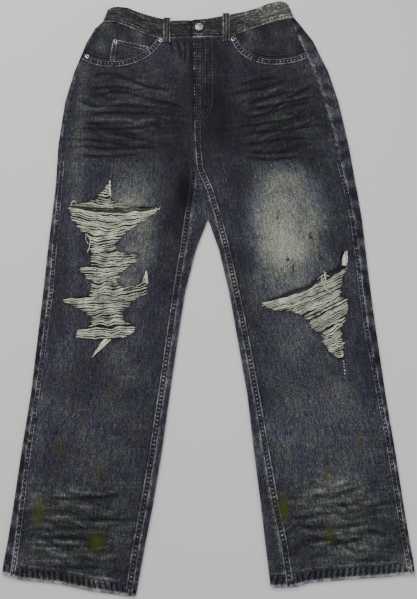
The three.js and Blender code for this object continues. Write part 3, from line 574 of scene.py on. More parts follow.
def crease_height(x, y):
    """How far the creases raise the front panels."""
    total = np.zeros(np.shape(x))
    for x0, y0, middle, x1, y1, height, width in zip(*CREASES.values()):
        share = (x - x0) / (x1 - x0)
        from_end = np.minimum(share, 1 - share)
        held = np.clip(share, 0, 1)
        pull = 2 * middle - (y0 + y1) / 2
        line = (1 - held) ** 2 * y0 + 2 * held * (1 - held) * pull + held**2 * y1
        total += height * fading(y - line, width) * smooth(from_end, -0.06, 0.3)
    return np.clip(total, -1.1, 2.4)


def soft_areas(areas, x, y, power=2):
    """The amounts of some areas, each fading out at its reach. The power is how steeply."""
    total = np.zeros(np.shape(x))
    powers = areas.get("power", power + 0 * areas["x"])
    for ax, ay, across, along, amount, steep in zip(*(areas[k] for k in areas if k != "power"), powers):
        reach = np.hypot((x - ax) / across, (y - ay) / along)
        total += amount * np.exp(-(reach**steep))
    return total


def line_glow(lines, x, y, width):
    """1 on the nearest of some lines, fading to 0 some width off and towards the line's ends."""
    glow = np.zeros(np.shape(x))
    for line in lines:
        gap, along = distance_to(rounded(line, 6), x, y)
        ends = smooth(np.minimum(along, 1 - along), -0.06, 0.16)
        glow = np.maximum(glow, ends * fading(gap, width))
    return glow


def strands(part, seed):
    """Lines scattered over the strand areas: part 0 or 1 picks every other one."""
    draw = np.random.default_rng(seed)
    lines = []
    for x0, x1, y0, y1, slope, count in zip(*STRAND_AREAS.values()):
        for i in range(int(count)):
            middle, y = draw.uniform(x0 + 25, x1 - 25), draw.uniform(y0, y1)
            reach, lean, bow = draw.uniform(22, 62), slope + draw.normal(0, 0.09), draw.normal(0, 3.5)
            left, right = max(middle - reach, x0), min(middle + reach, x1)
            left_y, right_y = (y + lean * (end - middle) for end in (left, right))
            line = [(left, left_y), (middle, y + bow), (right, right_y)]
            if i % 2 == part:
                lines.append(line)
    return lines


# Shader maths
class Value:
    """A socket that Python's arithmetic adds Math nodes to."""

    def __init__(self, finish, socket):
        self.finish, self.socket = finish, socket

    def maths(self, operation, *values):
        return self.finish.add("ShaderNodeMath", {"operation": operation}, dict(enumerate(values)))

    def __add__(self, other):
        return self.maths("ADD", self, other)

    def __sub__(self, other):
        return self.maths("SUBTRACT", self, other)

    def __rsub__(self, other):
        return self.maths("SUBTRACT", other, self)

    def __mul__(self, other):
        return self.maths("MULTIPLY", self, other)

    def __pow__(self, other):
        return self.maths("POWER", self, other)

    def held(self, low=0, high=1):
        return self.maths("MINIMUM", self.maths("MAXIMUM", self, low), high)

    def ramp(self, low, high):
        """0 at low, 1 at high, smooth between them."""
        inputs = {"Value": self, "From Min": low, "From Max": high}
        return self.finish.add("ShaderNodeMapRange", {"interpolation_type": "SMOOTHSTEP"}, inputs)

    def peak(self, middle, reach):
        """1 at the middle, falling to 0 some reach off on both sides."""
        return (1 - self.maths("ABSOLUTE", self - middle) * (1 / reach)).held()

    __radd__ = __add__
    __rmul__ = __mul__


# Sockets that share their names: a mix node's colours, and an object's own places
COLOUR_A, COLOUR_B, COLOUR_MIXED, OBJECT_PLACE = 6, 7, 2, 3


class Finish:
    """A material: its shader's uniform values, and nodes for what changes over the surface."""

    def __init__(self, name, **uniform):
        self.material = bpy.data.materials.new(name)
        self.material.use_nodes = True
        self.nodes = self.material.node_tree.nodes
        self.shader = self.nodes["Principled BSDF"]
        for socket, value in uniform.items():
            self.shader.inputs[socket.replace("_", " ")].default_value = value

    def add(self, kind, settings=None, inputs=None, output=0):
        node = self.nodes.new(kind)
        for name, value in (settings or {}).items():
            if name == "stops":
                while len(node.color_ramp.elements) < len(value):
                    node.color_ramp.elements.new(1)
                for element, (place, colour) in zip(node.color_ramp.elements, value):
                    element.position, element.color = place, (*colour, 1)
            else:
                setattr(node, name, value)
        for socket, value in (inputs or {}).items():
            self.join(node.inputs[socket], value)
        return Value(self, node.outputs[output])

    def join(self, socket, value):
        if isinstance(value, Value):
            self.material.node_tree.links.new(value.socket, socket)
        else:
            socket.default_value = value

    def read(self, name, output="Fac"):
        return self.add("ShaderNodeAttribute", {"attribute_name": name}, output=output)

    def noise(self, place, scale, detail=2, rough=0.5):
        inputs = {"Vector": place, "Scale": scale, "Detail": detail, "Roughness": rough}
        return self.add("ShaderNodeTexNoise", None, inputs)

    def stretch(self, place, x, y, z=1):
        return self.add("ShaderNodeVectorMath", {"operation": "MULTIPLY"}, {0: place, 1: (x, y, z)})

    def mix(self, share, a, b):
        return self.blend("MIX", share, *(c if isinstance(c, Value) else (*c, 1) for c in (a, b)))

    def blend(self, way, share, a, b):
        settings = {"data_type": "RGBA", "blend_type": way}
        return self.add("ShaderNodeMix", settings, {0: share, COLOUR_A: a, COLOUR_B: b}, COLOUR_MIXED)

    def place(self):
        return self.add("ShaderNodeTexCoord", output=OBJECT_PLACE)

    def show(self, **sockets):
        for name, value in sockets.items():
            self.join(self.shader.inputs[name.replace("_", " ")], value)
        return self.material

    def raised(self, height, depth):
        return self.add("ShaderNodeBump", None, {"Height": height, "Strength": 1, "Distance": depth})


def srgb(*levels):
    """Colour levels of 0 to 255, as seen, made the shader's own."""
    return tuple(((v / 255 + 0.055) / 1.055) ** 2.4 if v > 10 else v / 255 / 12.92 for v in levels)


DENIM_TONES = (
    (0.0, srgb(9, 9, 12)), (0.22, srgb(28, 29, 32)), (0.42, srgb(54, 55, 59)),
    (0.66, srgb(101, 103, 99)), (1.0, srgb(174, 176, 165)),
)
BLUE_CAST, GREEN_CAST, OLIVE = (1.0, 0.95, 1.25), (0.99, 1.03, 0.96), srgb(62, 66, 6)
RUNG, ROPE = 7, 9.6


def felled_seam(gap, along, patches, broken):
    """A worn edge, rungs on a dark strip, a worn ridge and the shadow beside it."""
    turn = along * (2 * math.pi / RUNG) + (patches - 0.5) * 5
    rung = turn.maths("SINE", turn).ramp(-0.2, 0.8)
    worn = 0.20 + broken * 0.36
    strip = gap.peak(5.7, 6.0).ramp(0.1, 0.4)
    felled = gap.peak(0.6, 1.7) * worn + gap.peak(FELL_WIDTH, 1.7) * worn - strip * 0.13
    return felled + rung * gap.peak(5.7, 3.6) * (0.16 + broken * 0.50) - gap.peak(13.2, 2.2) * 0.10


def roped_hem(gap, along, patches, broken):
    """A worn fold, dark ropes up to the row of sewing, and a worn ridge over it."""
    turn = (along + gap * 0.3) * (2 * math.pi / ROPE) + (patches - 0.5) * 4
    roped = turn.maths("SINE", turn).ramp(-0.1, 0.5) * gap.peak(12.0, 8.0).ramp(0.05, 0.35)
    hemmed = gap.peak(0, 8.5).ramp(0, 0.7) * (0.26 + broken * 0.26) - roped * 0.26
    return hemmed - gap.peak(HEM_ROW, 1.5) * 0.18 + gap.peak(22.5, 2.4) * broken * 0.22


def denim_finish(name, lift=0.0, weave=(0.95, 0.75, 0.30), neutral=0.0):
    """Washed twill: slubs along the cloth's own map, and wear, painted shade, sewing and dirt from
    attributes.
    """
    cloth = Finish(
        name, Roughness=0.92, Sheen_Weight=0.04, Sheen_Roughness=0.6, Specular_IOR_Level=0.15,
    )
    grain = cloth.add("ShaderNodeUVMap", {"uv_map": "grain"})
    place = cloth.place()
    wear, dark, light, edge, stain, rope, whisk, fan, gap, along, sewn, teeth = map(
        cloth.read, "wear dark light edge stain rope whisk fan gap along sewn teeth".split()
    )

    salt = cloth.noise(cloth.stretch(grain, 620, 340), 1, 2, 0.75)
    slubs = cloth.noise(cloth.stretch(grain, 640, 95), 1, 3, 0.65)
    streaks = cloth.noise(cloth.stretch(grain, 260, 22), 1, 3, 0.55)
    clouds = cloth.noise(place, 16, 4, 0.6)
    patches = cloth.noise(place, 60, 4, 0.65)
    hue = cloth.noise(place, 26, 4, 0.7)
    side = cloth.add("ShaderNodeSeparateXYZ", None, {"Vector": place})
    folded = cloth.add("ShaderNodeCombineXYZ", None, {"X": side * 17, "Y": fan * 0.11})
    fine_folds = cloth.noise(folded, 1, 3, 0.6)

    broken = patches.ramp(0.32, 0.66)
    depth = (0.5 + wear * 1.4).held(0, 1.1)
    threads = (salt - 0.5) * weave[0] + (slubs - 0.5) * weave[1] + (streaks - 0.5) * weave[2]
    shade = wear + lift + threads * depth + (clouds - 0.5) * 0.28 + (patches - 0.5) * 0.18
    shade = shade + (fine_folds - 0.5) * whisk * 0.70
    shade = shade - dark ** 1.4 * (0.17 + broken * 0.10) + light ** 1.6 * (0.07 + broken * 0.12)
    shade = shade + edge * (0.06 + broken * 0.30) - rope * 0.20

    shade = shade + felled_seam(gap, along, patches, broken) * sewn
    shade = shade + roped_hem(gap, along, patches, broken) * teeth

    tone = cloth.add("ShaderNodeValToRGB", {"stops": DENIM_TONES}, {"Fac": shade.held()})
    green = hue.ramp(0.36, 0.64) * 0.6 + clouds.ramp(0.4, 0.6) * 0.5 + whisk * 0.6
    green = (green + (wear - 0.42).held() * 3.6 + neutral - 0.3).held()
    tint = cloth.mix(green, BLUE_CAST, GREEN_CAST)
    coloured = cloth.blend("MULTIPLY", 1.0, tone, tint)
    speckle = stain * (salt.ramp(0.35, 0.6) * 0.5 + 0.4)
    dirty = cloth.mix(speckle, coloured, OLIVE)
    return cloth.show(
        Base_Color=dirty,
        Roughness=(0.84 + (slubs - 0.5) * 0.2).held(),
        Normal=cloth.raised(slubs * 0.6 + salt * 0.8, 0.0005),
    )


def yarn_finish(name, light, dark, twist):
    """Spun cotton: twisted along its own map, with grey dirt in patches and painted shade where the dim
    attribute is high.
    """
    spun = Finish(name, Roughness=0.95, Sheen_Weight=0.2, Specular_IOR_Level=0.2)
    along = spun.add("ShaderNodeUVMap", {"uv_map": "grain"})
    place = spun.place()
    ply = spun.add(
        "ShaderNodeTexWave", {"wave_type": "BANDS", "bands_direction": "DIAGONAL"},
        {"Vector": spun.stretch(along, twist, 1), "Scale": 1, "Distortion": 0.6},
    )
    dirt = spun.noise(place, 60, 3, 0.6)
    fine = spun.noise(place, 420, 2, 0.6)
    share = (dirt - 0.5) * 1.7 + (fine - 0.5) * 1.1 + 0.70 + (ply - 0.5) * 0.15
    share = (share - spun.read("dim")).held()
    return spun.show(
        Base_Color=spun.mix(share, srgb(*dark), srgb(*light)),
        Roughness=(0.9 + (fine - 0.5) * 0.1).held(),
        Normal=spun.raised(ply * 0.6 + fine * 0.4, 0.00015),
    )


def metal_finish():
    metal = Finish("old_nickel", Metallic=1.0)
    place = metal.place()
    grime = metal.noise(place, 380, 4, 0.65)
    scratches = metal.noise(metal.stretch(place, 900, 220, 400), 1, 2, 0.5)
    share = (grime.ramp(0.36, 0.62) * 0.8 + scratches * 0.2 - metal.read("dim")).held()
    return metal.show(
        Base_Color=metal.mix(share, srgb(38, 38, 35), srgb(212, 211, 204)),
        Roughness=(0.56 - share * 0.26).held(),
        Normal=metal.raised(grime + scratches * 0.5, 0.00008),
    )


def tape_finish():
    tape = Finish("zip_tape", Roughness=0.85, Specular_IOR_Level=0.25)
    place = tape.place()
    rows = tape.add(
        "ShaderNodeTexWave", {"wave_type": "BANDS", "bands_direction": "Y"},
        {"Vector": place, "Scale": 420, "Distortion": 0.4},
    )
    dirt = tape.noise(place, 120, 3, 0.6)
    share = (rows * 0.5 + dirt * 0.5).held()
    return tape.show(
        Base_Color=tape.mix(share, srgb(22, 23, 27), srgb(46, 47, 52)),
        Roughness=(0.8 + dirt * 0.15).held(),
        Normal=tape.raised(rows, 0.0002),
    )


DENIMS = {
    "denim_front": denim_finish("denim_front"),
    "denim_back": denim_finish("denim_back", lift=-0.03),
    "denim_band": denim_finish("denim_band", weave=(0.6, 1.5, 0.9), neutral=0.8),
}
BARE_WEFT = yarn_finish("bare_weft", (250, 255, 230), (74, 80, 68), 1800)
SEWING_THREAD = yarn_finish("sewing_thread", (84, 84, 80), (22, 22, 24), 2400)
WARP_ENDS = yarn_finish("warp_ends", (66, 70, 74), (16, 18, 22), 1800)
OLD_NICKEL = metal_finish()
ZIP_TAPE = tape_finish()


# Meshes
CLOTH_CREASE, METAL_CREASE = 50, 32  # degrees past which an edge is crisp
ROUND_SIDES = 48


def make_mesh(name, points, faces, material, nodes=(), values=None, grain=None):
    """A piece from points in millimetres. values are attributes, grain its map along the warp."""
    mesh = bpy.data.meshes.new(name)
    places = np.asarray(points, float) * MM
    mesh.from_pydata(places.tolist(), [], [list(map(int, face)) for face in faces])
    for key, value in (values or {}).items():
        layer = mesh.attributes.new(key, "FLOAT", "POINT")
        layer.data.foreach_set("value", np.ascontiguousarray(value, dtype=np.float32))
    if grain is not None:
        layer = mesh.uv_layers.new(name="grain")
        corners = np.zeros(len(mesh.loops), np.int32)
        mesh.loops.foreach_get("vertex_index", corners)
        grain = np.asarray(grain, float)[corners] * MM
        layer.data.foreach_set("uv", grain.astype(np.float32).ravel())
    mesh.materials.append(material)
    mesh.polygons.foreach_set("use_smooth", [True] * len(mesh.polygons))
    mesh.update()
    piece = bpy.data.objects.new(name, mesh)
    bpy.context.scene.collection.objects.link(piece)
    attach(piece, "root")
    if nodes:
        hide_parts(*nodes)
    return piece


def thicken(piece, thickness):
    """Gives a sheet its wall, on the side away from its faces, and keeps its rim crisp."""
    solidify = piece.modifiers.new("wall", "SOLIDIFY")
    solidify.thickness = thickness * MM
    solidify.offset = -1
    bpy.ops.object.select_all(action="DESELECT")
    bpy.context.view_layer.objects.active = piece
    piece.select_set(True)
    bpy.ops.object.modifier_apply(modifier="wall")
    bpy.ops.object.shade_smooth_by_angle(angle=math.radians(CLOTH_CREASE))
    piece.select_set(False)


def cloth_piece(node, slot, points, faces, wall, values, grain):
    """A walled sheet of denim in the place of its node."""
    piece = make_mesh("denim_" + node, points, faces, DENIMS[slot], [node], values, grain)
    thicken(piece, wall)
    return piece


def lattice(rows):
    """Points and faces of rows of places."""
    count, columns = rows.shape[:2]
    first = (np.arange(count - 1)[:, None] * columns + np.arange(columns - 1)).ravel()
    faces = np.stack([first, first + columns, first + columns + 1, first + 1], 1)
    return rows.reshape(-1, rows.shape[-1]), faces


# Period and seed of the ropes across each kind of seam
ROPES = {"outseam": (13, 1), "inseam": (9.5, 2), "mouth": (8, 3), "waist": (11, 4), "patch": (7.5, 6)}


def rope_along(line, x, y, reach, period, seed):
    """Dark ropes that cross a seam: strong near it, uneven in spacing, none some reach off."""
    gap, along = distance_to(line, x, y)
    spot = along * lengths_along(line)[-1]
    wander = 2.2 * np.sin(spot / 61 + seed) + 1.4 * np.sin(spot / 23 + 2 * seed)
    wave = 0.5 + 0.5 * np.sin(2 * np.pi * (spot + gap * 0.5) / period + wander)
    strength = 0.35 + 0.65 * smooth(np.sin(spot / 47 + 3 * seed) + np.sin(spot / 19), -0.8, 1.2)
    return wave**2 * strength * fading(gap, reach), wave * fading(gap, reach)


def seam_lines(leg):
    """The leg's outseam, inseam, hem and waist as fine lines."""
    side = side_of(leg)
    at = np.linspace(0, HEM, 1400)
    cut = section(leg, at)
    out_x, in_x = cut["outseam"] - side * SEAM_GAP / 2, cut["inseam"] + side * SEAM_GAP / 2
    outseam = np.stack([out_x, section_y(leg, at, out_x)], 1)
    inseam = np.stack([in_x, section_y(leg, at, in_x)], 1)
    ends = []
    for row in (0, HEM):
        x = np.linspace(outseam[-1 if row else 0, 0], inseam[-1 if row else 0, 0], 200)
        ends.append(np.stack([x, section_y(leg, row, x) - (0 if row else SEAM_GAP)], 1))
    outseam[0, 1] -= SEAM_GAP
    inseam[0, 1] -= SEAM_GAP
    return {"outseam": outseam, "inseam": inseam, "waist": ends[0], "hem": ends[1]}


def rip_outline(rip):
    """The closed torn edge of a rip."""
    rights = [edge[::-1] for edge in rip["right"]]
    lobes = [*rights[1], *rip["notch"], *rights[0]] if len(rights) > 1 else rights[0]
    tail = [] if len(rights) > 1 else rip["notch"]
    return np.array([*rip["left"], *lobes, *tail], float)


def ragged(outline, step, amount, seed):
    """A closed torn edge: finer than its outline, with small uneven teeth."""
    draw = np.random.default_rng(seed)
    closed = resample(np.vstack([outline, outline[:1]]), step)[:-1]
    return closed + draw.normal(0, amount, closed.shape)


# Front panels
def front_under(lines, x, y):
    """The underside of the front panel, as in the part's source."""
    out_x = np.interp(-y, -lines["outseam"][:, 1], lines["outseam"][:, 0])
    in_x = np.interp(-y, -lines["inseam"][:, 1], lines["inseam"][:, 0])
    from_out, from_in = np.abs(x - out_x), np.abs(x - in_x)
    raised = seat_raise(y)
    flat = raised + FRONT_LEVEL
    at_fold = raised + 2 * FOLD_RADIUS - DENIM
    near = np.maximum(fading(from_out, 16), fading(from_in, 16) * (1 - smooth(y, 150, 235)))
    top = smooth(y, 350, 412)
    fade = smooth(np.minimum(from_out, from_in), 0, 24)
    level = (flat + (at_fold - flat) * near) * (1 - top) + TOP_LEVEL * top
    return level + crease_height(x, y) * fade * (1 - top), from_out, from_in


def front_height(lines, mouth, torn, x, y, is_left):
    """The front panel's outside: its underside, its wall, doubled cloth, rolled edges and puckers."""
    under, from_out, from_in = front_under(lines, x, y)
    from_hem, _ = distance_to(lines["hem"][::6], x, y)
    from_mouth, _ = distance_to(mouth, x, y)
    from_waist, _ = distance_to(lines["waist"][::6], x, y)
    from_rip, _ = distance_to(torn, x, y)
    fell = (1 - smooth(from_in, FELL_WIDTH, FELL_WIDTH + 1)) * (1 - smooth(y, FLY_END - 12, FLY_END))
    hem = 1 - smooth(from_hem, HEM_HEIGHT, HEM_HEIGHT + 1)
    extra = np.maximum(FELL_RAISE * fell, HEM_RAISE * hem)
    if is_left:
        fly = (1 - smooth(x, -1, 5)) * smooth(y, FLY_END - 3, FLY_END + 8)
        extra = np.maximum(extra, FLY_RAISE * fly)
    extra += MOUTH_RAISE * (1 - smooth(from_mouth, 10, 12))
    puckers = 0.35 * rope_along(lines["outseam"][::12], x, y, 9, *ROPES["outseam"])[1]
    puckers += 0.25 * rope_along(lines["inseam"][::12], x, y, 12, *ROPES["inseam"])[1]
    puckers += 0.30 * rope_along(mouth[::3], x, y, 8, *ROPES["mouth"])[1]
    puckers += 0.35 * rope_along(lines["waist"][::8], x, y, 9, *ROPES["waist"])[1]
    ropes = 0.5 + 0.5 * np.sin(2 * np.pi * (x + from_hem * 0.55) / 10.5 + np.sin(x / 21) * 1.6)
    puckers += 0.55 * hem * ropes * smooth(from_hem, 2, 7) * (1 - smooth(from_hem, 17, 22))
    drift = 0.35 * bumps(x, y, 70, 11) + 0.18 * bumps(x, y, 26, 12)
    curl = 0.9 * fading(from_rip, 7) * (0.4 + 0.6 * bumps(x, y, 30, 13))
    edge = np.minimum.reduce([from_out, from_in, from_hem, from_mouth, from_waist])
    roll = 0.75 * rolled(edge, 1.5)
    inner = smooth(np.minimum(from_out, from_in), 2, 20)
    height = under + DENIM + extra + puckers + (drift + curl) * inner - roll
    return height, {"out": from_out, "waist": from_waist, "rip": from_rip}


def sewn_values(rows, place):
    """Gap from the nearest sewn line, place along it, and how its seam or hem shows.

    rows: line, width, strength of a felled seam, strength of a hem, lowest and highest y.
    """
    gap, along = np.full(len(place[0]), 60.0), np.zeros(len(place[0]))
    sewn, teeth = np.zeros(len(gap)), np.zeros(len(gap))
    for line, width, fell, hem, low, high in rows:
        from_line, share = distance_to(line, *place)
        from_line = from_line * FELL_WIDTH / width
        length = lengths_along(line)[-1]
        held = (from_line < gap) & (from_line < 28) & (place[1] > low) & (place[1] < high)
        gap[held], along[held] = from_line[held], share[held] * length
        sewn[held], teeth[held] = fell, hem
    return {"gap": gap, "along": along, "sewn": sewn, "teeth": teeth}


def wear_values(x, y, gaps):
    """The attributes that the denim reads, from how far places lie from seams and rips."""
    edge = 0.8 * fading(np.minimum(gaps["out"], gaps["waist"]), 1.6)
    # Painted shadow: the cloth darker within a few millimetres of a rip's torn edge, where the yarns lie
    # over it
    torn = fading(gaps["rip"], 2.6)
    wear = 0.33 + soft_areas(WEAR_AND_SHADE_AREAS, x, y) - 0.16 * torn + 0.04 * bumps(x, y, 90, 21)
    slope = np.where(y > 0, np.where(x < 0, 0.13, -0.22), np.where(x < 0, 0.06, -0.1))
    fine_dark, fine_light = (
        line_glow(strands(part, STRAND_SEED), x, y, width) for part, width in ((0, 3.2), (1, 3))
    )
    return {
        "wear": wear,
        "dark": np.maximum(line_glow(DARK_LINES, x, y, 3.6), 0.55 * fine_dark),
        "light": np.maximum(0.85 * line_glow(LIGHT_LINES, x, y, 4), 0.8 * fine_light),
        "edge": edge,
        "stain": np.clip(soft_areas(STAINS, x, y), 0, 1),
        "whisk": soft_areas(WHISK_AREAS, x, y, 3),
        "fan": y + slope * x + 9 * np.sin(x / 38) + 6 * bumps(x, y, 70, 22),
    }


def filled(outlines, features, keep, spacing, clear=1.4):
    """Triangles over an area: outlines and features are lines that they follow, keep picks faces."""
    every = [*outlines, *features]
    low = np.min([line.min(0) for line in outlines], axis=0)
    high = np.max([line.max(0) for line in outlines], axis=0)
    xs = np.arange(low[0], high[0], spacing)
    ys = np.arange(low[1], high[1], spacing * 0.866)
    grid_x, grid_y = np.meshgrid(xs, ys)
    grid_x = grid_x + (np.arange(len(ys))[:, None] % 2) * spacing / 2
    places = np.stack([grid_x.ravel(), grid_y.ravel()], 1)
    near = np.zeros(len(places), bool)
    cells = {}
    for line in every:
        for px, py in resample(line, clear):
            cells.setdefault((int(px // clear), int(py // clear)), []).append((px, py))
    for i, (px, py) in enumerate(places):
        cx, cy = int(px // clear), int(py // clear)
        near[i] = any(
            (px - qx) ** 2 + (py - qy) ** 2 < clear * clear
            for dx in (-1, 0, 1) for dy in (-1, 0, 1) for qx, qy in cells.get((cx + dx, cy + dy), ())
        )
    places = places[~near]
    places = places[keep(places[:, 0], places[:, 1])]
    points, edges = list(map(Vector, places)), []
    for closed, line in [(True, line) for line in outlines] + [(False, line) for line in features]:
        start = len(points)
        points.extend(map(Vector, line))
        count = len(line)
        steps = range(count if closed else count - 1)
        edges.extend((start + i, start + (i + 1) % count) for i in steps)
    found, _, faces, _, _, _ = geometry.delaunay_2d_cdt(points, edges, [], 0, 1e-4)
    found = np.array([tuple(p) for p in found])
    faces = np.array([tuple(f) for f in faces])
    middle = found[faces].mean(1)
    faces = faces[keep(middle[:, 0], middle[:, 1])]
    used = np.unique(faces)
    index = np.full(len(found), -1)
    index[used] = np.arange(len(used))
    return found[used], index[faces]


def facing_up(points, faces):
    """Faces turned so that all look up."""
    a, b, c = (points[faces[:, i]] for i in range(3))
    turn = (b[:, 0] - a[:, 0]) * (c[:, 1] - a[:, 1]) - (b[:, 1] - a[:, 1]) * (c[:, 0] - a[:, 0])
    return np.where((turn < 0)[:, None], faces[:, ::-1], faces)


def front_features(lines, mouth, side):
    """Lines that a front's faces follow: its rims, felled seam, hem and pocket mouth."""
    ways = {"outseam": -side, "inseam": side}
    features = [resample(shifted(lines[name][::8], way * RIM), 3) for name, way in ways.items()]
    for width in (FELL_WIDTH, FELL_WIDTH + 1):
        features.append(resample(lines["inseam"][::8] + (side * width, 0), 3.2))
    for height, step in ((HEM_HEIGHT, 3.2), (HEM_HEIGHT + 1, 3.2), (RIM, 3)):
        features.append(resample(lines["hem"] + (0, height), step))
    return [*features, mouth, mouth - (0, RIM), resample(lines["waist"] - (0, RIM), 3)]


def fly_curve(x, bend, top):
    """A row of the fly, down from the waist and round to its end, moved in by a bend."""
    curve = bezier((x, 345), (x, 318 - bend), (-6, 306 - bend), (-20, 303 - bend), 20)
    return np.vstack([[(x, top)], curve])


def front_rows(lines, mouth, is_left):
    """The sewn lines of a front, as sewn_values takes them."""
    rows = [
        (lines["outseam"][::6], 7.5, 0.85, 0, -BEYOND, 215),
        (lines["inseam"][::6], FELL_WIDTH, 1, 0, -BEYOND, FLY_END if is_left else CROTCH_Y),
        (mouth, FELL_WIDTH, 1, 0, 0, BEYOND),
        (lines["hem"], FELL_WIDTH, 0, 1, -BEYOND, 0),
    ]
    if is_left:
        outer = np.array([(-24.4, 600), (-23.6, FLY_END)])
        inner = fly_curve(1, 0, 600)
        rows += [(outer, 7, 0.9, 0, FLY_END, BEYOND), (inner, 7, 0.6, 0, FLY_END - 8, BEYOND)]
    return rows


def front_panel(node, leg, mouth_curve, rip):
    """A front panel. Gives back what its sewing and the yarns in its rip lie on."""
    lines = seam_lines(leg)
    side = side_of(leg)
    is_left = side > 0
    mouth = bezier(*mouth_curve)
    way_in, way_out = mouth[0] - mouth[1], mouth[-1] - mouth[-2]
    mouth = np.vstack([mouth[0] + 6 * way_in, mouth, mouth[-1] + 6 * way_out])
    mouth_fine = resample(mouth, 2.4)
    beside = mouth[0] + (side * 80, 0)
    above = np.vstack([mouth, mouth[-1] + (0, 120), beside + (0, 120), beside + (0, 20)])
    outline = np.vstack([
        resample(lines["outseam"], 3), resample(lines["hem"], 3)[1:],
        resample(lines["inseam"][::-1], 3)[1:], resample(lines["waist"][::-1], 3)[1:-1],
    ])
    torn = ragged(rip_outline(rip), 2.2, (0.8, 0.45), 5)
    torn_line = np.vstack([torn, torn[:1]])

    def keep(x, y):
        return inside(outline, x, y) & ~inside(above, x, y) & ~inside(torn, x, y)

    features = front_features(lines, mouth_fine, side)
    points, faces = filled([outline, torn], features, keep, GRID)
    faces = facing_up(points, faces)
    x, y = points.T
    height, gaps = front_height(lines, mouth_fine, torn_line, x, y, is_left)
    values = wear_values(x, y, gaps)
    values["rope"] = 0.9 * rope_along(lines["outseam"][::12], x, y, 7, *ROPES["outseam"])[0]
    values["rope"] += 0.6 * rope_along(lines["waist"][::8], x, y, 8, *ROPES["waist"])[0]
    if is_left:
        values["edge"] = np.maximum(values["edge"], 1.2 * fading(x + 30.4, 2) * (y > FLY_END))
    values.update(sewn_values(front_rows(lines, mouth_fine, is_left), (x, y)))
    lean = np.interp(-y, -leg["y_out"], (leg["outseam"] + leg["inseam"]) / 2)
    grain = np.stack([x - lean, y], 1)
    places = np.column_stack([points, height])
    panel = cloth_piece(node, "denim_front", places, faces, DENIM - 0.25, values, grain)

    def top(x, y):
        return front_height(lines, mouth_fine, torn_line, np.asarray(x), np.asarray(y), is_left)[0]

    return {"lines": lines, "mouth": mouth_fine, "torn": torn, "top": top}


# Back panels and yokes: from the outseam on top, round the outer fold, under the leg and, below
# the crotch, round the inner fold to the inseam on top
STRIP_COLUMNS, CURL_COLUMNS, UNDER_COLUMNS = 4, 10, 46
ARC = np.pi / 2


def wrap_columns(cut, side, flat_end):
    """Middles, angles and levels of a row's places: the outer and under part, then the inner part."""
    seam = cut["outseam"] + side * SEAM_GAP / 2
    outer = cut["outer"] - side * FOLD_RADIUS
    inner = cut["inner"] + side * (FOLD_RADIUS + SEAM_GAP / 2)
    edge = cut["inner"] + side * SEAM_GAP / 2
    end = cut["inseam"] - side * SEAM_GAP / 2
    strip = np.linspace(seam, outer, STRIP_COLUMNS)
    arc = np.linspace(1, -1, CURL_COLUMNS + 1)[1:] * ARC
    under = np.linspace(outer, inner, UNDER_COLUMNS)[1:]
    middles = np.r_[strip, np.full(CURL_COLUMNS, outer), under]
    angles = np.r_[np.full(STRIP_COLUMNS, ARC), arc, np.full(UNDER_COLUMNS - 1, -ARC)]
    lower_end = np.linspace(inner, edge, STRIP_COLUMNS + 1)[1:], np.full(STRIP_COLUMNS, -ARC)
    upper = np.linspace(edge, end, 2 * STRIP_COLUMNS), np.full(2 * STRIP_COLUMNS, ARC)
    if not flat_end:
        lower_end = np.full(STRIP_COLUMNS, inner), np.linspace(-1, -2, STRIP_COLUMNS + 1)[1:] * ARC
        curl = np.r_[np.linspace(2, 1, 5), 1, 1, 1] * ARC
        upper = np.r_[np.full(5, inner), np.linspace(inner, end, 4)[1:]], curl
    return (np.r_[middles, lower_end[0]], np.r_[angles, lower_end[1]]), upper


def wrap_row(leg, at, drop=0.0):
    """One row of the back's outside: the outer and under part, then the inner part."""
    side = side_of(leg)
    cut = section(leg, at)
    raised = seat_raise(cut["y_in"])
    share = np.clip(at - BEFORE_APEX, 0, 1)
    parts = []
    for flat, folded in zip(wrap_columns(cut, side, True), wrap_columns(cut, side, False)):
        both = []
        for middles, angles in (flat, folded):
            x = middles + side * FOLD_RADIUS * np.cos(angles)
            z = raised + FOLD_RADIUS * (1 + np.sin(angles))
            centre_share = np.clip((cut["outseam"] - middles) / (cut["outseam"] - cut["inner"]), 0, 1)
            y = section_y(leg, at, middles) - drop * centre_share
            both.append(np.stack([x, y, z], 1))
        parts.append(both[0] * (1 - share) + both[1] * share)
    return parts


# Areas of the back's tone: the two dark ones by the crotch are painted shade in the fork between the legs,
# the rest lighter wear
BACK_AREAS = table(
    "x y across along amount",
    (-8, 122, 20, 54, -0.16), (-30, 150, 16, 36, -0.12),
    (-140, 330, 90, 120, 0.12), (100, 330, 90, 120, 0.12), (-160, 60, 80, 90, 0.05),
    (150, 60, 80, 90, 0.05),
    (-200, -140, 70, 90, 0.08), (190, -140, 70, 90, 0.08), (-220, -500, 90, 60, 0.06),
    (220, -490, 90, 60, 0.06),
)
BACK_DARK_LINES = (
    [(-250, 236), (-190, 224), (-120, 222), (-60, 232)],
    [(-240, 205), (-180, 196), (-100, 200)],
    [(60, 232), (120, 220), (190, 224), (240, 238)],
    [(90, 200), (160, 196), (220, 206)],
    [(-270, -80), (-210, -92), (-140, -84)],
    [(-280, -118), (-220, -108), (-150, -120)],
    [(-275, -150), (-230, -162), (-160, -152)],
    [(120, -84), (190, -94), (260, -80)],
    [(140, -122), (200, -110), (270, -120)],
    [(130, -154), (200, -162), (265, -150)],
)


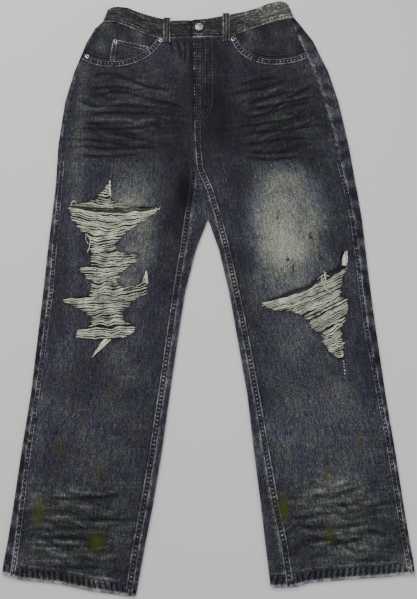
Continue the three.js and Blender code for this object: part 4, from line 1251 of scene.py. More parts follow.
def back_values(points, from_seam, from_end):
    """The attributes of the back's denim."""
    x, y, z = points.T
    wear = 0.33 + soft_areas(BACK_AREAS, x, y, 2.4) * (z < TOP_LEVEL - 2) + 0.05 * bumps(x, y, 90, 31)
    blocks = np.clip(1.6 * np.sin(y * (2 * math.pi / 38) + 2.2 * bumps(x, y, 60, 34)), -1, 1)
    wear = wear + 0.09 * blocks * (from_seam < 24) * (np.abs(x) > 150)
    edge = np.maximum(fading(from_seam, 1.6), 0.8 * fading(from_end, 1.8))
    return {"wear": wear, "dark": line_glow(BACK_DARK_LINES, x, y, 5) * 0.9, "edge": edge}


def joined(patches):
    """Points and faces of patches of rows, with places that two patches share made one."""
    points, faces, start = [], [], 0
    for rows in patches:
        places, cells = lattice(rows)
        points.append(places)
        faces.append(cells + start)
        start += len(places)
    points, faces = np.vstack(points), np.vstack(faces)
    shared = np.round(points[:, :3], 3)
    _, first, index = np.unique(shared, axis=0, return_index=True, return_inverse=True)
    return points[first], index.ravel()[faces]


def outward(faces, side):
    """Faces turned to look out of the cloth on a leg's side."""
    return faces if side > 0 else faces[:, ::-1]


def back_panel(node, leg):
    """A back panel. Gives back its hem."""
    side = side_of(leg)
    spots = [YOKE_AT]
    for row in range(3, HEM + 1):
        span = abs(section(leg, row)["y_in"] - section(leg, spots[-1])["y_in"])
        count = max(int(round(span / 5)), 1)
        spots.extend(np.linspace(spots[-1], row, count + 1)[1:])
    spots = np.array(spots)
    drops = YOKE_DROP * np.clip((3 - spots) / (3 - YOKE_AT), 0, 1)
    rows = [wrap_row(leg, at, drop) for at, drop in zip(spots, drops)]
    main = np.array([row[0] for row in rows])
    flap = np.array([row[1] for at, row in zip(spots, rows) if at >= FLAP_TOP])
    seam_line = main[:, 0, :2]
    length = lengths_along(main)
    flap_from_end = lengths_along(flap[:, ::-1])[:, ::-1]

    def described(part, from_seam, from_end):
        x, y, z = part[..., 0], part[..., 1], part[..., 2]
        rope, wave = rope_along(seam_line[::3], x, y, 9, *ROPES["outseam"])
        on_top = (from_seam < 24) & (z > 3)
        rope, wave = rope * on_top, wave * on_top
        inner_rope, inner_wave = rope_along(flap[:, -1, :2][::3], x, y, 9, *ROPES["inseam"])
        on_inner = (from_end < 14) & (z > 3)
        rope, wave = rope + 0.8 * inner_rope * on_inner, wave + inner_wave * on_inner
        roll = 0.7 * rolled(np.minimum(from_seam, from_end), 1.4)
        sunk = np.where(z > 3, 0.35 * wave - roll, 0)
        reach = np.minimum(x - x.min(axis=1, keepdims=True), x.max(axis=1, keepdims=True) - x)
        fold = fading(reach, 2.6) * smooth(z, 1.5, 4) * (0.6 + 0.4 * bumps(x, y, 40, 32))
        part = part.copy()
        part[..., 2] += sunk
        more = np.stack([from_seam, from_end, rope, fold], axis=-1)
        return np.concatenate([part, more], axis=-1)

    far, flap_far = np.full(length.shape, 99.0), np.full(flap.shape[:2], 99.0)
    points, faces = joined([described(main, length, far), described(flap, flap_far, flap_from_end)])
    values = back_values(points[:, :3], points[:, 3], points[:, 4])
    values["rope"] = points[:, 5]
    values["edge"] = np.maximum(values["edge"], points[:, 6])
    left_hip = smooth(points[:, 0], 150, 190) * smooth(points[:, 1], 330, 430)
    values["wear"] += smooth(points[:, 2], 2, 6) * (0.04 + 0.04 * left_hip)
    values.update(sewn_values([(underside(main[-1]), FELL_WIDTH, 0, 1, -BEYOND, 0)], points[:, :2].T))
    grain = np.stack([points[:, 0] + side * points[:, 2], points[:, 1]], 1)
    faces = outward(faces, side)
    panel = cloth_piece(node, "denim_back", points[:, :3], faces, DENIM - 0.2, values, grain)
    return main[-1]


def underside(row, level=0.0):
    """x and y of the places of a row that lie under the leg."""
    return row[row[:, 2] < level + 0.1][:, :2]


def yoke(node, leg):
    """A back yoke. Gives back its lower edge."""
    side = side_of(leg)
    spots = np.r_[np.linspace(0, 2, 15), np.linspace(2, YOKE_AT, 5)[1:]]
    rows = []
    for at in spots:
        drop = YOKE_DROP * np.clip((at - 2) / (YOKE_AT - 2), 0, 1)
        row = wrap_row(leg, at, drop)[0]
        row[:, 1] += SEAM_GAP * ((at == YOKE_AT) - 1.0 * (at == 0))
        rows.append(row)
    main = np.array(rows)
    from_seam = lengths_along(main)
    points, faces = joined([np.concatenate([main, from_seam[..., None]], axis=-1)])
    low = main[-1][np.argsort(main[-1][:, 0])]
    from_low = points[:, 1] - np.interp(points[:, 0], low[:, 0], low[:, 1])
    values = back_values(points[:, :3], points[:, 3], np.abs(from_low))
    rope = rope_along(main[:, 0, :2], points[:, 0], points[:, 1], 9, *ROPES["outseam"])[0]
    values["rope"] = rope * (points[:, 3] < 24)
    grain = np.stack([points[:, 1], points[:, 0] + side * points[:, 2]], 1)
    faces = outward(faces, side)
    piece = cloth_piece(node, "denim_back", points[:, :3], faces, DENIM - 0.2, values, grain)
    return main[-1]


# Waistband: from its end under the button round the right side, the back and the left side
FIRST_COLUMNS, TURN_COLUMNS, BACK_COLUMNS, LAST_COLUMNS = 60, 11, 96, 58
LAP_START, LAP_END, LAP_LIFT = 8, -32.5, 0.9


def band_columns(edge):
    """x, side, turn and lift of each place round one edge of the waistband."""
    left, right = edge["left"] + BAND_RADIUS, edge["right"] - BAND_RADIUS
    under = BAND_WALL + SEAM_GAP - LAP_LIFT
    arc = np.linspace(1, -1, TURN_COLUMNS + 2)[1:-1]
    first = np.linspace(LAP_START, left, FIRST_COLUMNS)
    back = np.linspace(left, right, BACK_COLUMNS)
    last = np.linspace(right, LAP_END, LAST_COLUMNS)
    x = np.r_[first, np.full(TURN_COLUMNS, left), back, np.full(TURN_COLUMNS, right), last]
    before = FIRST_COLUMNS + TURN_COLUMNS
    side = np.r_[-np.ones(before), np.ones(len(x) - before)]
    turn = np.r_[np.ones(FIRST_COLUMNS), arc, -np.ones(BACK_COLUMNS), arc[::-1], np.ones(LAST_COLUMNS)]
    lift = np.zeros(len(x))
    lift[:FIRST_COLUMNS] = -under * (1 - smooth(-first, 35.5, 46.5))
    lift[-LAST_COLUMNS:] = LAP_LIFT * (1 - smooth(last, -4, 20))
    return x, side, turn * ARC, lift


def waistband():
    """The waistband. Gives back its rows of places and the way that each column faces."""
    columns = [band_columns(edge) for edge in (BAND_BOTTOM, BAND_EDGE)]
    ends = []
    for edge, (x, side, angle, lift) in zip((BAND_BOTTOM, BAND_EDGE), columns):
        y = np.interp(x, edge["line"]["x"], edge["line"]["y"]) + edge["gap"]
        ends.append(np.stack([x, y], 1))
    _, side, angle, lift = columns[0]
    shares = np.r_[0, 0.012, 0.035, np.linspace(0.09, 0.91, 11), 0.965, 0.988, 1]
    height = np.linalg.norm(ends[1] - ends[0], axis=1)
    along = lengths_along(ends[0])
    rows, extras = [], []
    for share in shares:
        base = ends[0] * (1 - share) + ends[1] * share
        from_low, from_top = share * height, (1 - share) * height
        ropes = (0.5 + 0.5 * np.sin(2 * np.pi * (along + 0.7 * from_top) / 9 + np.sin(along / 37))) ** 2
        strength = (0.4 + 0.6 * smooth(np.sin(along / 53) + np.sin(along / 17), -0.8, 1.2))
        near = fading(from_low, 7) + 0.8 * fading(from_top, 8)
        roll = 0.9 * rolled(np.minimum(from_low, from_top), 1.8)
        soft = 0.25 * bumps(along, from_low * 3, 60, 41) * smooth(np.minimum(from_low, from_top), 3, 10)
        raised = np.where(np.sin(angle) > -0.5, 0.3 * ropes * strength * near + soft, 0)
        radius = BAND_RADIUS - roll + raised
        x = base[:, 0] + side * radius * np.cos(angle)
        z = SEAT_RAISE + lift + BAND_RADIUS + radius * np.sin(angle)
        rows.append(np.stack([x, base[:, 1], z], 1))
        extras.append(np.stack([along, from_low, from_top, ropes * strength * near], 1))
    rows, extras = np.array(rows), np.array(extras)
    points, faces = lattice(rows)
    along_all, from_low, from_top, rope = extras.reshape(-1, 4).T
    x, y, z = points.T
    values = {
        "wear": 0.28 + 0.06 * bumps(x, y, 60, 42) + 0.26 * smooth(x, 20, 130) * smooth(z, 2, 6),
        "light": 0.5 * np.clip(bumps(along_all, from_low * 4, 40, 43), 0, 1),
        "edge": np.maximum(fading(from_low, 1.5), fading(from_top, 2.2)),
        # The band's ropes, and a painted shadow on the underlap beside the end of the lap over it
        "rope": 0.8 * rope + 1.2 * fading(x + 35.5, 2.2) * (along_all < 60),
        "gap": np.minimum(from_low, from_top) * 1.5,
        "along": along_all,
        "sewn": 0.8 * np.ones(len(x)),
    }
    grain = np.stack([from_low, along_all], 1)
    piece = cloth_piece("waistband", "denim_band", points, faces, BAND_WALL - 0.3, values, grain)
    normals = np.stack([side * np.cos(angle), np.zeros(len(side)), np.sin(angle)], 1)
    return rows, normals


# Small flat pieces: pocket facings, coin pocket, back pockets and belt loops
def plain_values(x, y, edge, wear=0.33, rope=0.0):
    """The attributes of a small piece's denim."""
    return {"wear": wear + 0.06 * bumps(x, y, 50, 51), "edge": edge, "rope": rope + np.zeros(len(x))}


FACING_END, FACING_ROWS, FACING_COLUMNS, FACING_DEPTH = 2.9, 30, 48, 1.2


def facing(node, leg, inner_x):
    """Denim behind the pocket's mouth, in the part's place."""
    side = side_of(leg)
    low, at_fold = SEAT_RAISE + DENIM + 0.4, SEAT_RAISE + 2 * FOLD_RADIUS - DENIM
    rows = []
    for at in np.linspace(0, FACING_END, FACING_ROWS):
        cut = section(leg, at)
        start = cut["outseam"] - side * SEAM_GAP
        share = np.linspace(0, 1, FACING_COLUMNS)
        x = start + (inner_x - start) * share
        y = section_y(leg, at, x) - 1.2 * (at == 0)
        edge = fading(np.abs(x - start), 12) * smooth(y, 444, 466)
        z = low + (at_fold - low) * edge
        held = (TOP_LEVEL - FACING_DEPTH - low) * (1 - smooth(share, 0.8, 0.92)) * (1 - np.clip(at, 0, 1))
        rows.append(np.stack([x, y, np.maximum(z, low + held) + FACING_DEPTH], 1))
    points, faces = lattice(np.array(rows))
    x, y, _ = points.T
    values = plain_values(x, y, np.zeros(len(x)), 0.34)
    # Darker towards the pocket mouth
    values["wear"] = values["wear"] - 0.15 * (1 - smooth(y, 428, 466))
    values["whisk"] = np.full(len(x), 0.9)
    faces = outward(faces, -side)
    piece = cloth_piece(node, "denim_back", points, faces, FACING_WALL, values, points[:, :2])


def patch(node, corners, slot, level=0.0, wall=PATCH_WALL, face_down=True, rope=0.5):
    """A flat sewn patch with rolled edges, its rows of sewing seen as worn ridges and ropes."""
    sides = zip(corners, (*corners[1:], corners[0]))
    outline = np.vstack([resample(np.array(side), 2.2)[:-1] for side in sides])
    closed = np.vstack([outline, outline[:1]])
    middle = outline.mean(0)
    reach = np.linalg.norm(outline - middle, axis=1, keepdims=True)
    inset = middle + (outline - middle) * (1 - 1.6 / reach)
    points, faces = filled([outline], [inset], lambda x, y: inside(outline, x, y), 3.2)
    x, y = points.T
    from_edge, _ = distance_to(closed, x, y)
    roll = 0.55 * rolled(from_edge, 1.6)
    ropes, wave = rope_along(closed[::2], x, y, 7, *ROPES["patch"])
    height = (0.25 * wave + 0.1 * bumps(x, y, 30, 61)) * smooth(from_edge, 1, 3) - roll
    z = level + wall + height if not face_down else level - height * (height < 0)
    faces = facing_up(points, faces)
    faces = faces[:, ::-1] if face_down else faces
    values = plain_values(x, y, fading(from_edge, 1.5), 0.35, 0.5 * rope * ropes)
    values.update(sewn_values([(closed, 8, 1, 0, -BEYOND, BEYOND)], (x, y)))
    places = np.column_stack([points, z])
    piece = cloth_piece(node, slot, places, faces, wall * 0.85, values, points)


def front_loop(node, x, low, high):
    """A belt loop over the waistband, from its foot under the waist seam to its folded top."""
    foot, over = TOP_LEVEL + DENIM + SEAM_GAP, SEAT_RAISE + 2 * BAND_RADIUS + SEAM_GAP
    path = rounded([
        (low, foot + 1.4), (low + 4, foot + 1.5), (low + 7, over + 1.0), (low + 11, over + 1.5),
        (high - 22, over + 1.7), (high - 4, over + 1.4), (high + 0.8, over + 1.0),
        (high + 1.4, over - 1.2), (high + 1.4, over - 3),
    ], 1.1)
    across = np.array([-7, -6.6, -5.6, -4.4, -3.2, -1.6, 0, 1.6, 3.2, 4.4, 5.6, 6.6, 7])
    normal = sideways(path)
    length = lengths_along(path)
    ridge = 0.28 * fading(np.abs(across) - 6, 1.2) + 0.22 * fading(across, 1.8)
    ridge -= 0.6 * rolled((7 - np.abs(across)), 1.2)
    rows = []
    for (y, z), (ny, nz), spot in zip(path, normal, length):
        lift = ridge * (0.8 + 0.2 * np.sin(spot / 1.9))
        rows.append(np.stack([x + across, y + ny * lift, z + nz * lift], 1))
    points, faces = lattice(np.array(rows))
    u, v = np.tile(across, len(path)), np.repeat(length, len(across))
    lines = np.maximum(fading(np.abs(u) - 6.2, 0.9), 0.7 * fading(u, 1.1))
    grooves = fading(np.abs(u) - 3.4, 1.1)
    values = plain_values(points[:, 0], points[:, 1], 1.5 * lines, 0.36, 1.2 * grooves)
    grain = np.stack([u, v], 1)
    piece = cloth_piece(node, "denim_band", points, faces[:, ::-1], LOOP_WALL, values, grain)


FRONTS = {
    "right": front_panel("front_right", RIGHT_LEG, MOUTH_RIGHT, RIP_RIGHT),
    "left": front_panel("front_left", LEFT_LEG, MOUTH_LEFT, RIP_LEFT),
}
BACKS = {
    "right": back_panel("back_right", RIGHT_LEG),
    "left": back_panel("back_left", LEFT_LEG),
}
YOKES = {
    "right": yoke("yoke_right", RIGHT_LEG),
    "left": yoke("yoke_left", LEFT_LEG),
}
BAND_ROWS, BAND_NORMALS = waistband()
facing("pocket_facing_right", RIGHT_LEG, -96)
facing("pocket_facing_left", LEFT_LEG, 46)
patch(
    "coin_pocket", COIN_CORNERS, "denim_back", level=5.1, wall=1.0, face_down=False,
)
for which, middle in POCKET_MIDDLES.items():
    patch(
        "back_pocket_" + which, [(x + middle, y) for x, y in BACK_POCKET], "denim_back",
    )
for node, (x, low, high) in FRONT_LOOPS.items():
    front_loop(node, x, low, high)
for node, (x, low, high) in BACK_LOOPS.items():
    left, right = x - LOOP_HALF, x + LOOP_HALF
    patch(
        node, [(left, low), (right, low), (right, high), (left, high)], "denim_band",
        rope=0.2,
    )


# Tubes: sewing, yarns and loose ends
def tubes(paths, ups, radius, sides=4):
    """Closed tubes along paths of equal length: points, faces and a map along each tube."""
    count, stations = paths.shape[:2]
    way = unit(np.gradient(paths, axis=1))
    across = unit(np.cross(way, ups))
    up = np.cross(across, way)
    angles = 2 * np.pi * (np.arange(sides) + 0.5) / sides
    radius = np.broadcast_to(radius, (count, stations))[..., None, None]
    ring = across[:, :, None] * np.cos(angles)[:, None] + up[:, :, None] * np.sin(angles)[:, None]
    points = (paths[:, :, None] + radius * ring).reshape(-1, 3)
    station, corner = np.meshgrid(np.arange(stations - 1), np.arange(sides), indexing="ij")
    first = (station * sides + corner).ravel()
    after = (station * sides + (corner + 1) % sides).ravel()
    one = np.stack([first, first + sides, after + sides, after], 1)
    caps = [list(range(sides)), list(range(stations * sides - 1, (stations - 1) * sides - 1, -1))]
    starts = np.arange(count) * stations * sides
    faces = (one[None] + starts[:, None, None]).reshape(-1, 4)
    faces = faces.tolist() + [[c + s for c in cap] for s in starts for cap in caps]
    length = lengths_along(paths)[:, :, None] + np.zeros(sides)
    around = np.arange(sides) + np.zeros(length.shape)
    return points, faces, np.stack([length.ravel(), around.ravel()], 1)


def stitches(name, lines, pitch):
    """Rows of separate stitches that come up out of the cloth and go down into it again."""
    paths, ups = [], []
    for line, normals in lines:
        line, normals = np.asarray(line, float), np.asarray(normals, float)
        length = lengths_along(line)
        starts = np.arange(0.3, length[-1] - pitch, pitch)
        spots = starts[:, None] + np.array([0, 0.2, 0.8, 1]) * (pitch - 0.55)
        place = np.stack([np.interp(spots, length, line[:, i]) for i in range(3)], -1)
        normal = np.stack([np.interp(spots, length, normals[:, i]) for i in range(3)], -1)
        paths.append(place + normal * np.array([-0.3, 0.16, 0.16, -0.3])[:, None])
        ups.append(normal)
    points, faces, grain = tubes(np.concatenate(paths), np.concatenate(ups), THREAD_RADIUS)
    make_mesh(name, points, faces, SEWING_THREAD, grain=grain)


UP, DOWN = np.array([0, 0, 1.0]), np.array([0, 0, -1.0])


def on_front(which, line):
    """A line of sewing on a front panel, with the way it faces."""
    line = resample(line, 1.5)
    top = FRONTS[which]["top"](line[:, 0], line[:, 1])
    return np.column_stack([line, top]), np.tile(UP, (len(line), 1))


def on_back(line, level=None):
    """A line of sewing under a leg, with the way it faces."""
    line = resample(line, 2)
    z = seat_raise(line[:, 1]) if level is None else np.full(len(line), level)
    return np.column_stack([line, z + 0.12]), np.tile(DOWN, (len(line), 1))


def between(line, low, high):
    return line[(line[:, 1] > low) & (line[:, 1] < high)]


def leg_sewing(which, side):
    """A leg's rows of sewing on its front, and on its hem behind."""
    lines, mouth = FRONTS[which]["lines"], FRONTS[which]["mouth"]
    inseam, outseam, hem = lines["inseam"][::6], lines["outseam"][::6], lines["hem"][::2]
    rows = []
    for gap in MOUTH_ROWS:
        row = shifted(mouth, -gap * side)
        out_x = np.interp(-row[:, 1], -outseam[:, 1], outseam[:, 0])
        waist = np.interp(row[:, 0], *(lines["waist"][np.argsort(lines["waist"][:, 0])].T))
        held = ((out_x - row[:, 0]) * side > 2) & (row[:, 1] < waist - 1)
        rows.append(row[held])
    top = CROTCH_Y if which == "right" else FLY_END - 4
    rows += [between(inseam + (side * gap, 0), -545, top) for gap in SEAM_ROWS]
    rows += [between(outseam - (side * 3, 0), 290, 428), hem[2:-2] + (0, HEM_ROW)]
    behind = on_back(underside(BACKS[which]) + (0, HEM_ROW))
    return [on_front(which, row) for row in rows], [behind]


def fly_sewing():
    """The two curved rows and the straight row of the fly."""
    straight = np.array([(-24.4, 478), (-23.6, FLY_END + 4)])
    return [on_front("left", row) for row in (fly_curve(1, 0, 478), fly_curve(7, 6, 478), straight)]


def small_sewing():
    """The rows of sewing on the coin pocket and the front belt loops."""
    rows = []
    for gap in COIN_ROWS:
        corners = [(-198 + gap, 424), (-193 + gap, 476 - gap), (-126, 459.5 - gap)]
        line = resample(corners, 1.5)
        rows.append(np.column_stack([line, np.full(len(line), 6.2)]))
    for x, low, high in FRONT_LOOPS.values():
        for off in LOOP_ROWS:
            rows.append(resample(np.array([
                (x + off, low + 1, 9.75), (x + off, low + 4, 9.85), (x + off, low + 9, 10.55),
                (x + off, high - 20, 10.75), (x + off, high - 2, 10.5),
            ]), 1.5))
        for end, z in ((low + 2.2, 9.95), (high - 4, 10.6)):
            for y in (end + 0.7 * k for k in range(4)):
                rows.append(resample(np.array([(x - 6, y, z), (x + 6, y + 0.4, z)]), 1))
    return [(row, np.tile(UP, (len(row), 1))) for row in rows]


def back_sewing():
    """The rows of sewing on the yokes, the seat seam, the back pockets and the back belt loops."""
    rows = []
    for seam in YOKES.values():
        under = underside(seam, SEAT_RAISE)[2:-2]
        rows += [on_back(under + (0, gap)) for gap in SEAM_ROWS]
    for gap in SEAM_ROWS:
        rows.append(on_back(np.array([(-20 - gap, 470), (-20 - gap, 250), (-21 - gap, 206)])))
    shape = np.array(BACK_POCKET, float)
    low = shape.mean(0)
    for middle in POCKET_MIDDLES.values():
        for gap in POCKET_ROWS:
            inner = low + (shape - low) * (1 - gap / 62)
            rows.append(on_back(inner[[4, 0, 1, 2, 3]] + (middle, 0), 0.0))
        rows.append(on_back(np.array([(-66, 414), (66, 414)]) + (middle, 0), 0.0))
    for x, low, high in BACK_LOOPS.values():
        for off in LOOP_ROWS:
            rows.append(on_back(np.array([(x + off, low + 2), (x + off, high - 2)]), 0.0))
    return rows


def sewing():
    front, back = [], []
    for which, side in (("right", -1), ("left", 1)):
        rows, behind = leg_sewing(which, side)
        front += rows
        back += behind
    band = [(BAND_ROWS[row] + BAND_NORMALS * 0.05, BAND_NORMALS) for row in (2, -3)]
    stitches("topstitching_front", front + fly_sewing() + band + small_sewing(), FRONT_PITCH)
    stitches("topstitching_back", back + back_sewing(), BACK_PITCH)


sewing()


# Yarns that bridge the rips
STATIONS = 22
ALONG_YARN = np.linspace(0, 1, STATIONS)
FREE = np.sin(np.pi * ALONG_YARN)


def shaken(draw, size, weight=(0.25, 0.5, 0.25)):
    """Small uneven steps along a yarn."""
    return np.convolve(draw.normal(0, size, STATIONS), weight, "same")


def bridging(rip, bands, top, draw, seed):
    """Yarns in bundles from one torn edge to the other: their paths and how dim each is (painted shade on
    a bundle's sides, near the ends and in shadowed bands, some at random).
    """
    paths, pulls, on_top, dims = [], [], [], []
    left = np.array(rip["left"], float)
    for row in zip(*bands.values()):
        left_from, left_to, right_from, right_to, sag, edge, bundles, yarns, dim = row
        right = np.array(rip["right"][int(edge)], float)
        bundles, yarns = int(bundles), int(yarns)
        cuts = (np.arange(1, bundles) + draw.uniform(-0.25, 0.25, bundles - 1)) / bundles
        shares = (np.arange(yarns) + draw.uniform(0.1, 0.9, yarns)) / yarns
        belongs = np.searchsorted(cuts, shares)
        for b in range(bundles):
            mine = shares[belongs == b]
            if not len(mine):
                continue
            middle, level, own_sag = mine.mean(), draw.uniform(3.3, 4.4), sag * draw.uniform(0.85, 1.15)
            reaches = draw.uniform(-1.2, 5.2, 2)
            over = draw.random() < OVER_SHARE
            bundle_dim = dim + draw.uniform(0, 0.16)
            opening = 0.50 + 0.20 * np.sin(ALONG_YARN * draw.uniform(4, 11) + draw.uniform(0, 6))
            for share in mine:
                y0, m0 = (left_from + (left_to - left_from) * v for v in (share, middle))
                y1, m1 = (right_from + (right_to - right_from) * v for v in (share, middle))
                over0, over1 = (max(reach + draw.normal(0, 0.7), 0.4) for reach in reaches)
                x0 = np.interp(-y0, -left[:, 1], left[:, 0]) - over0
                x1 = np.interp(-y1, -right[:, 1], right[:, 0]) + over1
                x = x0 + (x1 - x0) * ALONG_YARN
                own, centre = y0 + (y1 - y0) * ALONG_YARN, m0 + (m1 - m0) * ALONG_YARN
                stray = draw.random() < STRAY_SHARE
                y = own + (centre - own) * opening * (not stray) - own_sag * FREE
                wave = 2.6 * bumps(x, y * 0.7, 23, seed) + 1.3 * bumps(x, y * 0.8, 10, seed + 1)
                y = y + wave * FREE**0.5
                y = y + shaken(draw, 0.16 + 0.7 * stray) * FREE**0.5
                off = (share - middle) / max(mine.max() - mine.min(), 1e-6) * 2
                z = level + 1.1 * (1 - off**2) + shaken(draw, 0.18) + 0.6 * stray
                nearness = np.minimum(ALONG_YARN, 1 - ALONG_YARN) * max(x1 - x0, 20)
                pulls.append(np.clip(1 - nearness / 9, 0, 1) ** 1.3)
                paths.append(np.stack([x, y, z], 1))
                on_top.append(over)
                # Painted shade: yarns darker near their ends and on the sides of each bundle
                shadow = 0.10 * (1 - FREE) + 0.22 * off**2 * (not stray)
                dims.append(bundle_dim + draw.uniform(-0.14, 0.08) + shadow)
    paths, pulls = np.array(paths), np.array(pulls)
    x, y = paths[..., 0].ravel(), paths[..., 1].ravel()
    ends = np.where(np.repeat(on_top, STATIONS), top(x, y) + 0.3, 3.4 + seat_raise(y))
    paths[..., 2] += (ends.reshape(pulls.shape) - paths[..., 2]) * pulls
    return paths, np.array(dims)


def lying(lines, top, draw, strands=3):
    """Loose ends that lie on the cloth."""
    paths, dims = [], []
    for places, lift in lines:
        line = rounded(places, 0.5)
        spots = np.linspace(0, len(line) - 1, STATIONS)
        x, y = (np.interp(spots, np.arange(len(line)), line[:, i]) for i in range(2))
        for _ in range(strands if lift < 1 else 1):
            z = 0.3 + lift * FREE + np.abs(shaken(draw, 0.15))
            paths.append(np.stack([x + shaken(draw, 0.5), y + shaken(draw, 0.5), z], 1))
            dims.append(np.full(STATIONS, draw.uniform(0, 0.15)))
    paths = np.array(paths)
    under = top(paths[..., 0].ravel(), paths[..., 1].ravel()).reshape(paths.shape[:2])
    paths[..., 2] += np.maximum(under, TOP_LEVEL - 0.3)
    return paths, np.array(dims)


def rip_yarns(node, rip, bands, which, loose, seed):
    draw = np.random.default_rng(seed)
    top = FRONTS[which]["top"]
    (paths, dims), (more, more_dims) = bridging(rip, bands, top, draw, seed), lying(loose, top, draw)
    paths, dims = np.concatenate([paths, more]), np.concatenate([dims, more_dims])
    uneven = draw.uniform(0.8, 1.2, (len(paths), 1))
    radius = YARN_RADIUS * (0.6 + 0.4 * np.clip(FREE * 4, 0, 1)) * uneven
    points, faces, grain = tubes(paths, np.broadcast_to(UP, paths.shape), radius)
    values = {"dim": np.repeat(dims[:, :, None], 4, axis=2).ravel()}
    make_mesh("bare_yarns_" + which, points, faces, BARE_WEFT, [node], values, grain)


def tuft(corners, count, draw, lift=0.3):
    """Lines that fill a narrow tuft. corners are the two ends of its root, and its tip."""
    a, b, tip = (np.array(c, float) for c in corners)
    lines = []
    for share in draw.uniform(0, 1, count):
        root = a + (b - a) * share
        end = root + (tip - root) * draw.uniform(0.5, 1.05) + draw.normal(0, 0.6, 2)
        middle = (root + end) / 2 + draw.normal(0, 0.9, 2)
        lines.append(([tuple(root), tuple(middle), tuple(end)], lift))
    return lines


loose_draw = np.random.default_rng(seed=70)
LOOSE_RIGHT = [
    ([(-225, 62), (-222, 52), (-223, 40), (-227, 28)], 0.4),
    ([(-228, 66), (-231, 56), (-226, 46)], 0.4),
    ([(-262, 123), (-258, 130), (-252, 127)], 0.7),
    ([(-101, 117), (-95, 113), (-92, 117)], 0.5),
    *tuft([(-188, -134), (-176, -135), (-209, -166)], 20, loose_draw),
    *tuft([(-190, 150), (-186, 138), (-190, 171)], 10, loose_draw),
    *tuft([(-122, -28), (-112, -32), (-116, -8)], 12, loose_draw),
]
LOOSE_LEFT = [
    *[
        ([(x + d, y + d / 2) for x, y in line], lift)
        for d in (0, 1.1) for line, lift in (
            ([(219, -10), (210, -18), (208, -32), (214, -43), (230, -50)], 3.4),
            ([(214, -8), (216, -22), (213, -36), (221, -46)], 3.8),
            ([(201, -24), (212, -16), (224, -18)], 3.0),
            ([(203, -32), (212, -24), (217, -10)], 3.2),
        )
    ],
    ([(98, -74), (104, -70), (112, -68)], 0.6),
    *tuft([(249, 4), (253, 3), (255, 30)], 13, loose_draw),
    *tuft([(252, 4), (257, 2), (260, 31)], 13, loose_draw),
    *[
        ([(x, y), (x + 2, y - 1.5)], 0.1)
        for x, y in ((242, -174), (243, -179), (242.5, -184), (243.5, -190), (243, -196))
    ],
]
rip_yarns("rip_threads_right", RIP_RIGHT, BANDS_RIGHT, "right", LOOSE_RIGHT, seed=101)
rip_yarns("rip_threads_left", RIP_LEFT, BANDS_LEFT, "left", LOOSE_LEFT, seed=102)

NICKS = ((133, 99), (149, 12), (159, 2), (192, 61), (212, 20))


def warp_ends(which, seed):
    """Short dark warp ends along the torn edges that run across the leg, and round small nicks."""
    draw = np.random.default_rng(seed)
    torn = FRONTS[which]["torn"]
    spots = resample(np.vstack([torn, torn[:1]]), 1.1)
    inward = sideways(spots)
    probe = spots + inward * 1.2
    inward = np.where(inside(torn, probe[:, 0], probe[:, 1])[:, None], inward, -inward)
    chosen = (np.abs(inward[:, 1]) > 0.45) & (draw.random(len(spots)) < 0.9)
    s = np.linspace(0, 1, 5)[:, None]
    paths = []
    for (x, y), (ix, iy) in zip(spots[chosen], inward[chosen]):
        along = np.array([ix * 0.4 + draw.normal(0, 0.35), np.sign(iy)])
        reach = draw.uniform(1.6, 4.8) * s - 1.2
        line = np.array([x, y]) + along * reach + draw.normal(0, 0.12, (5, 2))
        z = 4.2 + 0.5 * s[:, 0] * draw.uniform(-1.4, 1.4) + seat_raise(y)
        paths.append(np.column_stack([line, z]))
    radii = [WARP_RADIUS] * len(paths)
    for nick in NICKS if which == "left" else ():
        for _ in range(7):
            middle = np.array(nick) + draw.normal(0, (2.4, 4.4))
            turn, size = draw.choice([-0.9, 0.8]) + draw.normal(0, 0.25), draw.uniform(2.6, 5.0)
            line = middle + size * np.array([np.cos(turn), np.sin(turn)]) * (s - 0.5) * 2
            paths.append(np.column_stack([line, FRONTS[which]["top"](*line.T) + 0.35]))
            radii.append(NICK_RADIUS)
    paths, dim = np.array(paths), np.repeat(0.7 * (np.array(radii) > 0.5), 15)
    uneven = draw.uniform(0.8, 1.2, (len(paths), 1))
    radius = np.linspace(1.35, 0.7, 5) * np.array(radii)[:, None] * uneven
    points, faces, grain = tubes(paths, np.broadcast_to(UP, paths.shape), radius, 3)
    name = "warp_ends_" + which
    make_mesh(name, points, faces, WARP_ENDS, values={"dim": dim}, grain=grain)


warp_ends("right", seed=111)
warp_ends("left", seed=112)


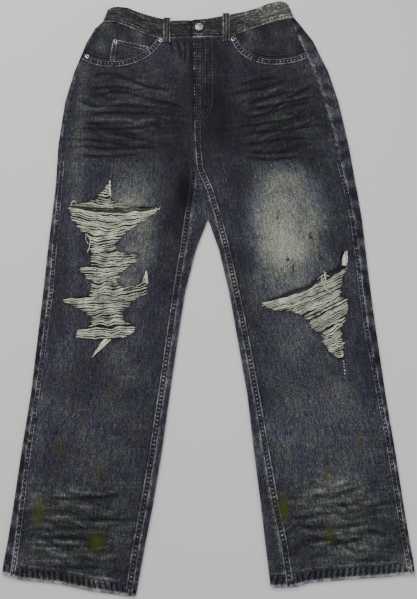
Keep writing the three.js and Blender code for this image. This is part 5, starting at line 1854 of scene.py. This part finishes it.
# Metal: a shank button and rivets, each drawn up from a disc ring by ring
def turned(name, node, rings, dark):
    """A round piece. rings are radius and height from the foot up, dark is its grime's reach."""
    low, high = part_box(node)
    middle = Vector(((low.x + high.x) / 2, (low.y + high.y) / 2, low.z))
    bpy.ops.object.select_all(action="DESELECT")
    foot = rings[0][0] * MM
    bpy.ops.mesh.primitive_circle_add(vertices=ROUND_SIDES, radius=foot, fill_type="NGON", location=middle)
    piece = bpy.context.object
    piece.name = name
    bpy.ops.object.transform_apply(location=True)
    bpy.ops.object.mode_set(mode="EDIT")
    bpy.ops.mesh.select_all(action="SELECT")
    for (radius, height), (wide, over) in zip(rings, rings[1:]):
        bpy.ops.mesh.extrude_region_move(TRANSFORM_OT_translate={"value": (0, 0, (over - height) * MM)})
        bpy.ops.transform.resize(value=(wide / radius, wide / radius, 1), center_override=middle)
    bpy.ops.mesh.select_all(action="SELECT")
    bpy.ops.mesh.normals_make_consistent(inside=False)
    bpy.ops.object.mode_set(mode="OBJECT")
    bpy.ops.object.shade_smooth_by_angle(angle=math.radians(METAL_CREASE))
    places = np.array([v.co for v in piece.data.vertices]) - middle
    layer = piece.data.attributes.new("dim", "FLOAT", "POINT")
    reach = np.hypot(places[:, 0], places[:, 1]) / MM
    layer.data.foreach_set("value", (1 - smooth(reach, dark * 0.8, dark * 1.1)).astype(np.float32))
    piece.data.materials.append(OLD_NICKEL)
    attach(piece, "root")
    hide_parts(node)
    piece.select_set(False)


BUTTON_RINGS = (
    (4.6, 0), (4.6, 1.2), (8.0, 1.5), (8.5, 1.9), (8.5, 2.5), (8.1, 2.9), (7.2, 3.1), (6.5, 3.0),
    (6.1, 2.5),
    (5.4, 2.5), (5.0, 2.9), (3.6, 3.2), (1.8, 3.3), (0.2, 3.35),
)
RIVET_RINGS = (
    (4.3, 0), (4.5, 0.3), (4.4, 0.8), (3.8, 1.3), (3.0, 1.5), (2.4, 1.4), (2.0, 0.9), (1.7, 0.5),
    (1.1, 0.5),
    (0.8, 0.9), (0.4, 1.0), (0.1, 1.0),
)
turned("shank_button", "waist_button", BUTTON_RINGS, dark=0)
for place in ("pocket_inner_right", "pocket_outer_right", "coin_pocket", "pocket_inner_left"):
    turned(f"rivet_{place}_metal", "rivet_" + place, RIVET_RINGS, dark=2.0)

# The zip's tape keeps the frame's shape, with its own finish
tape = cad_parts["fly_zip"]
tape.material_slots[0].link = "OBJECT"
tape.material_slots[0].material = ZIP_TAPE
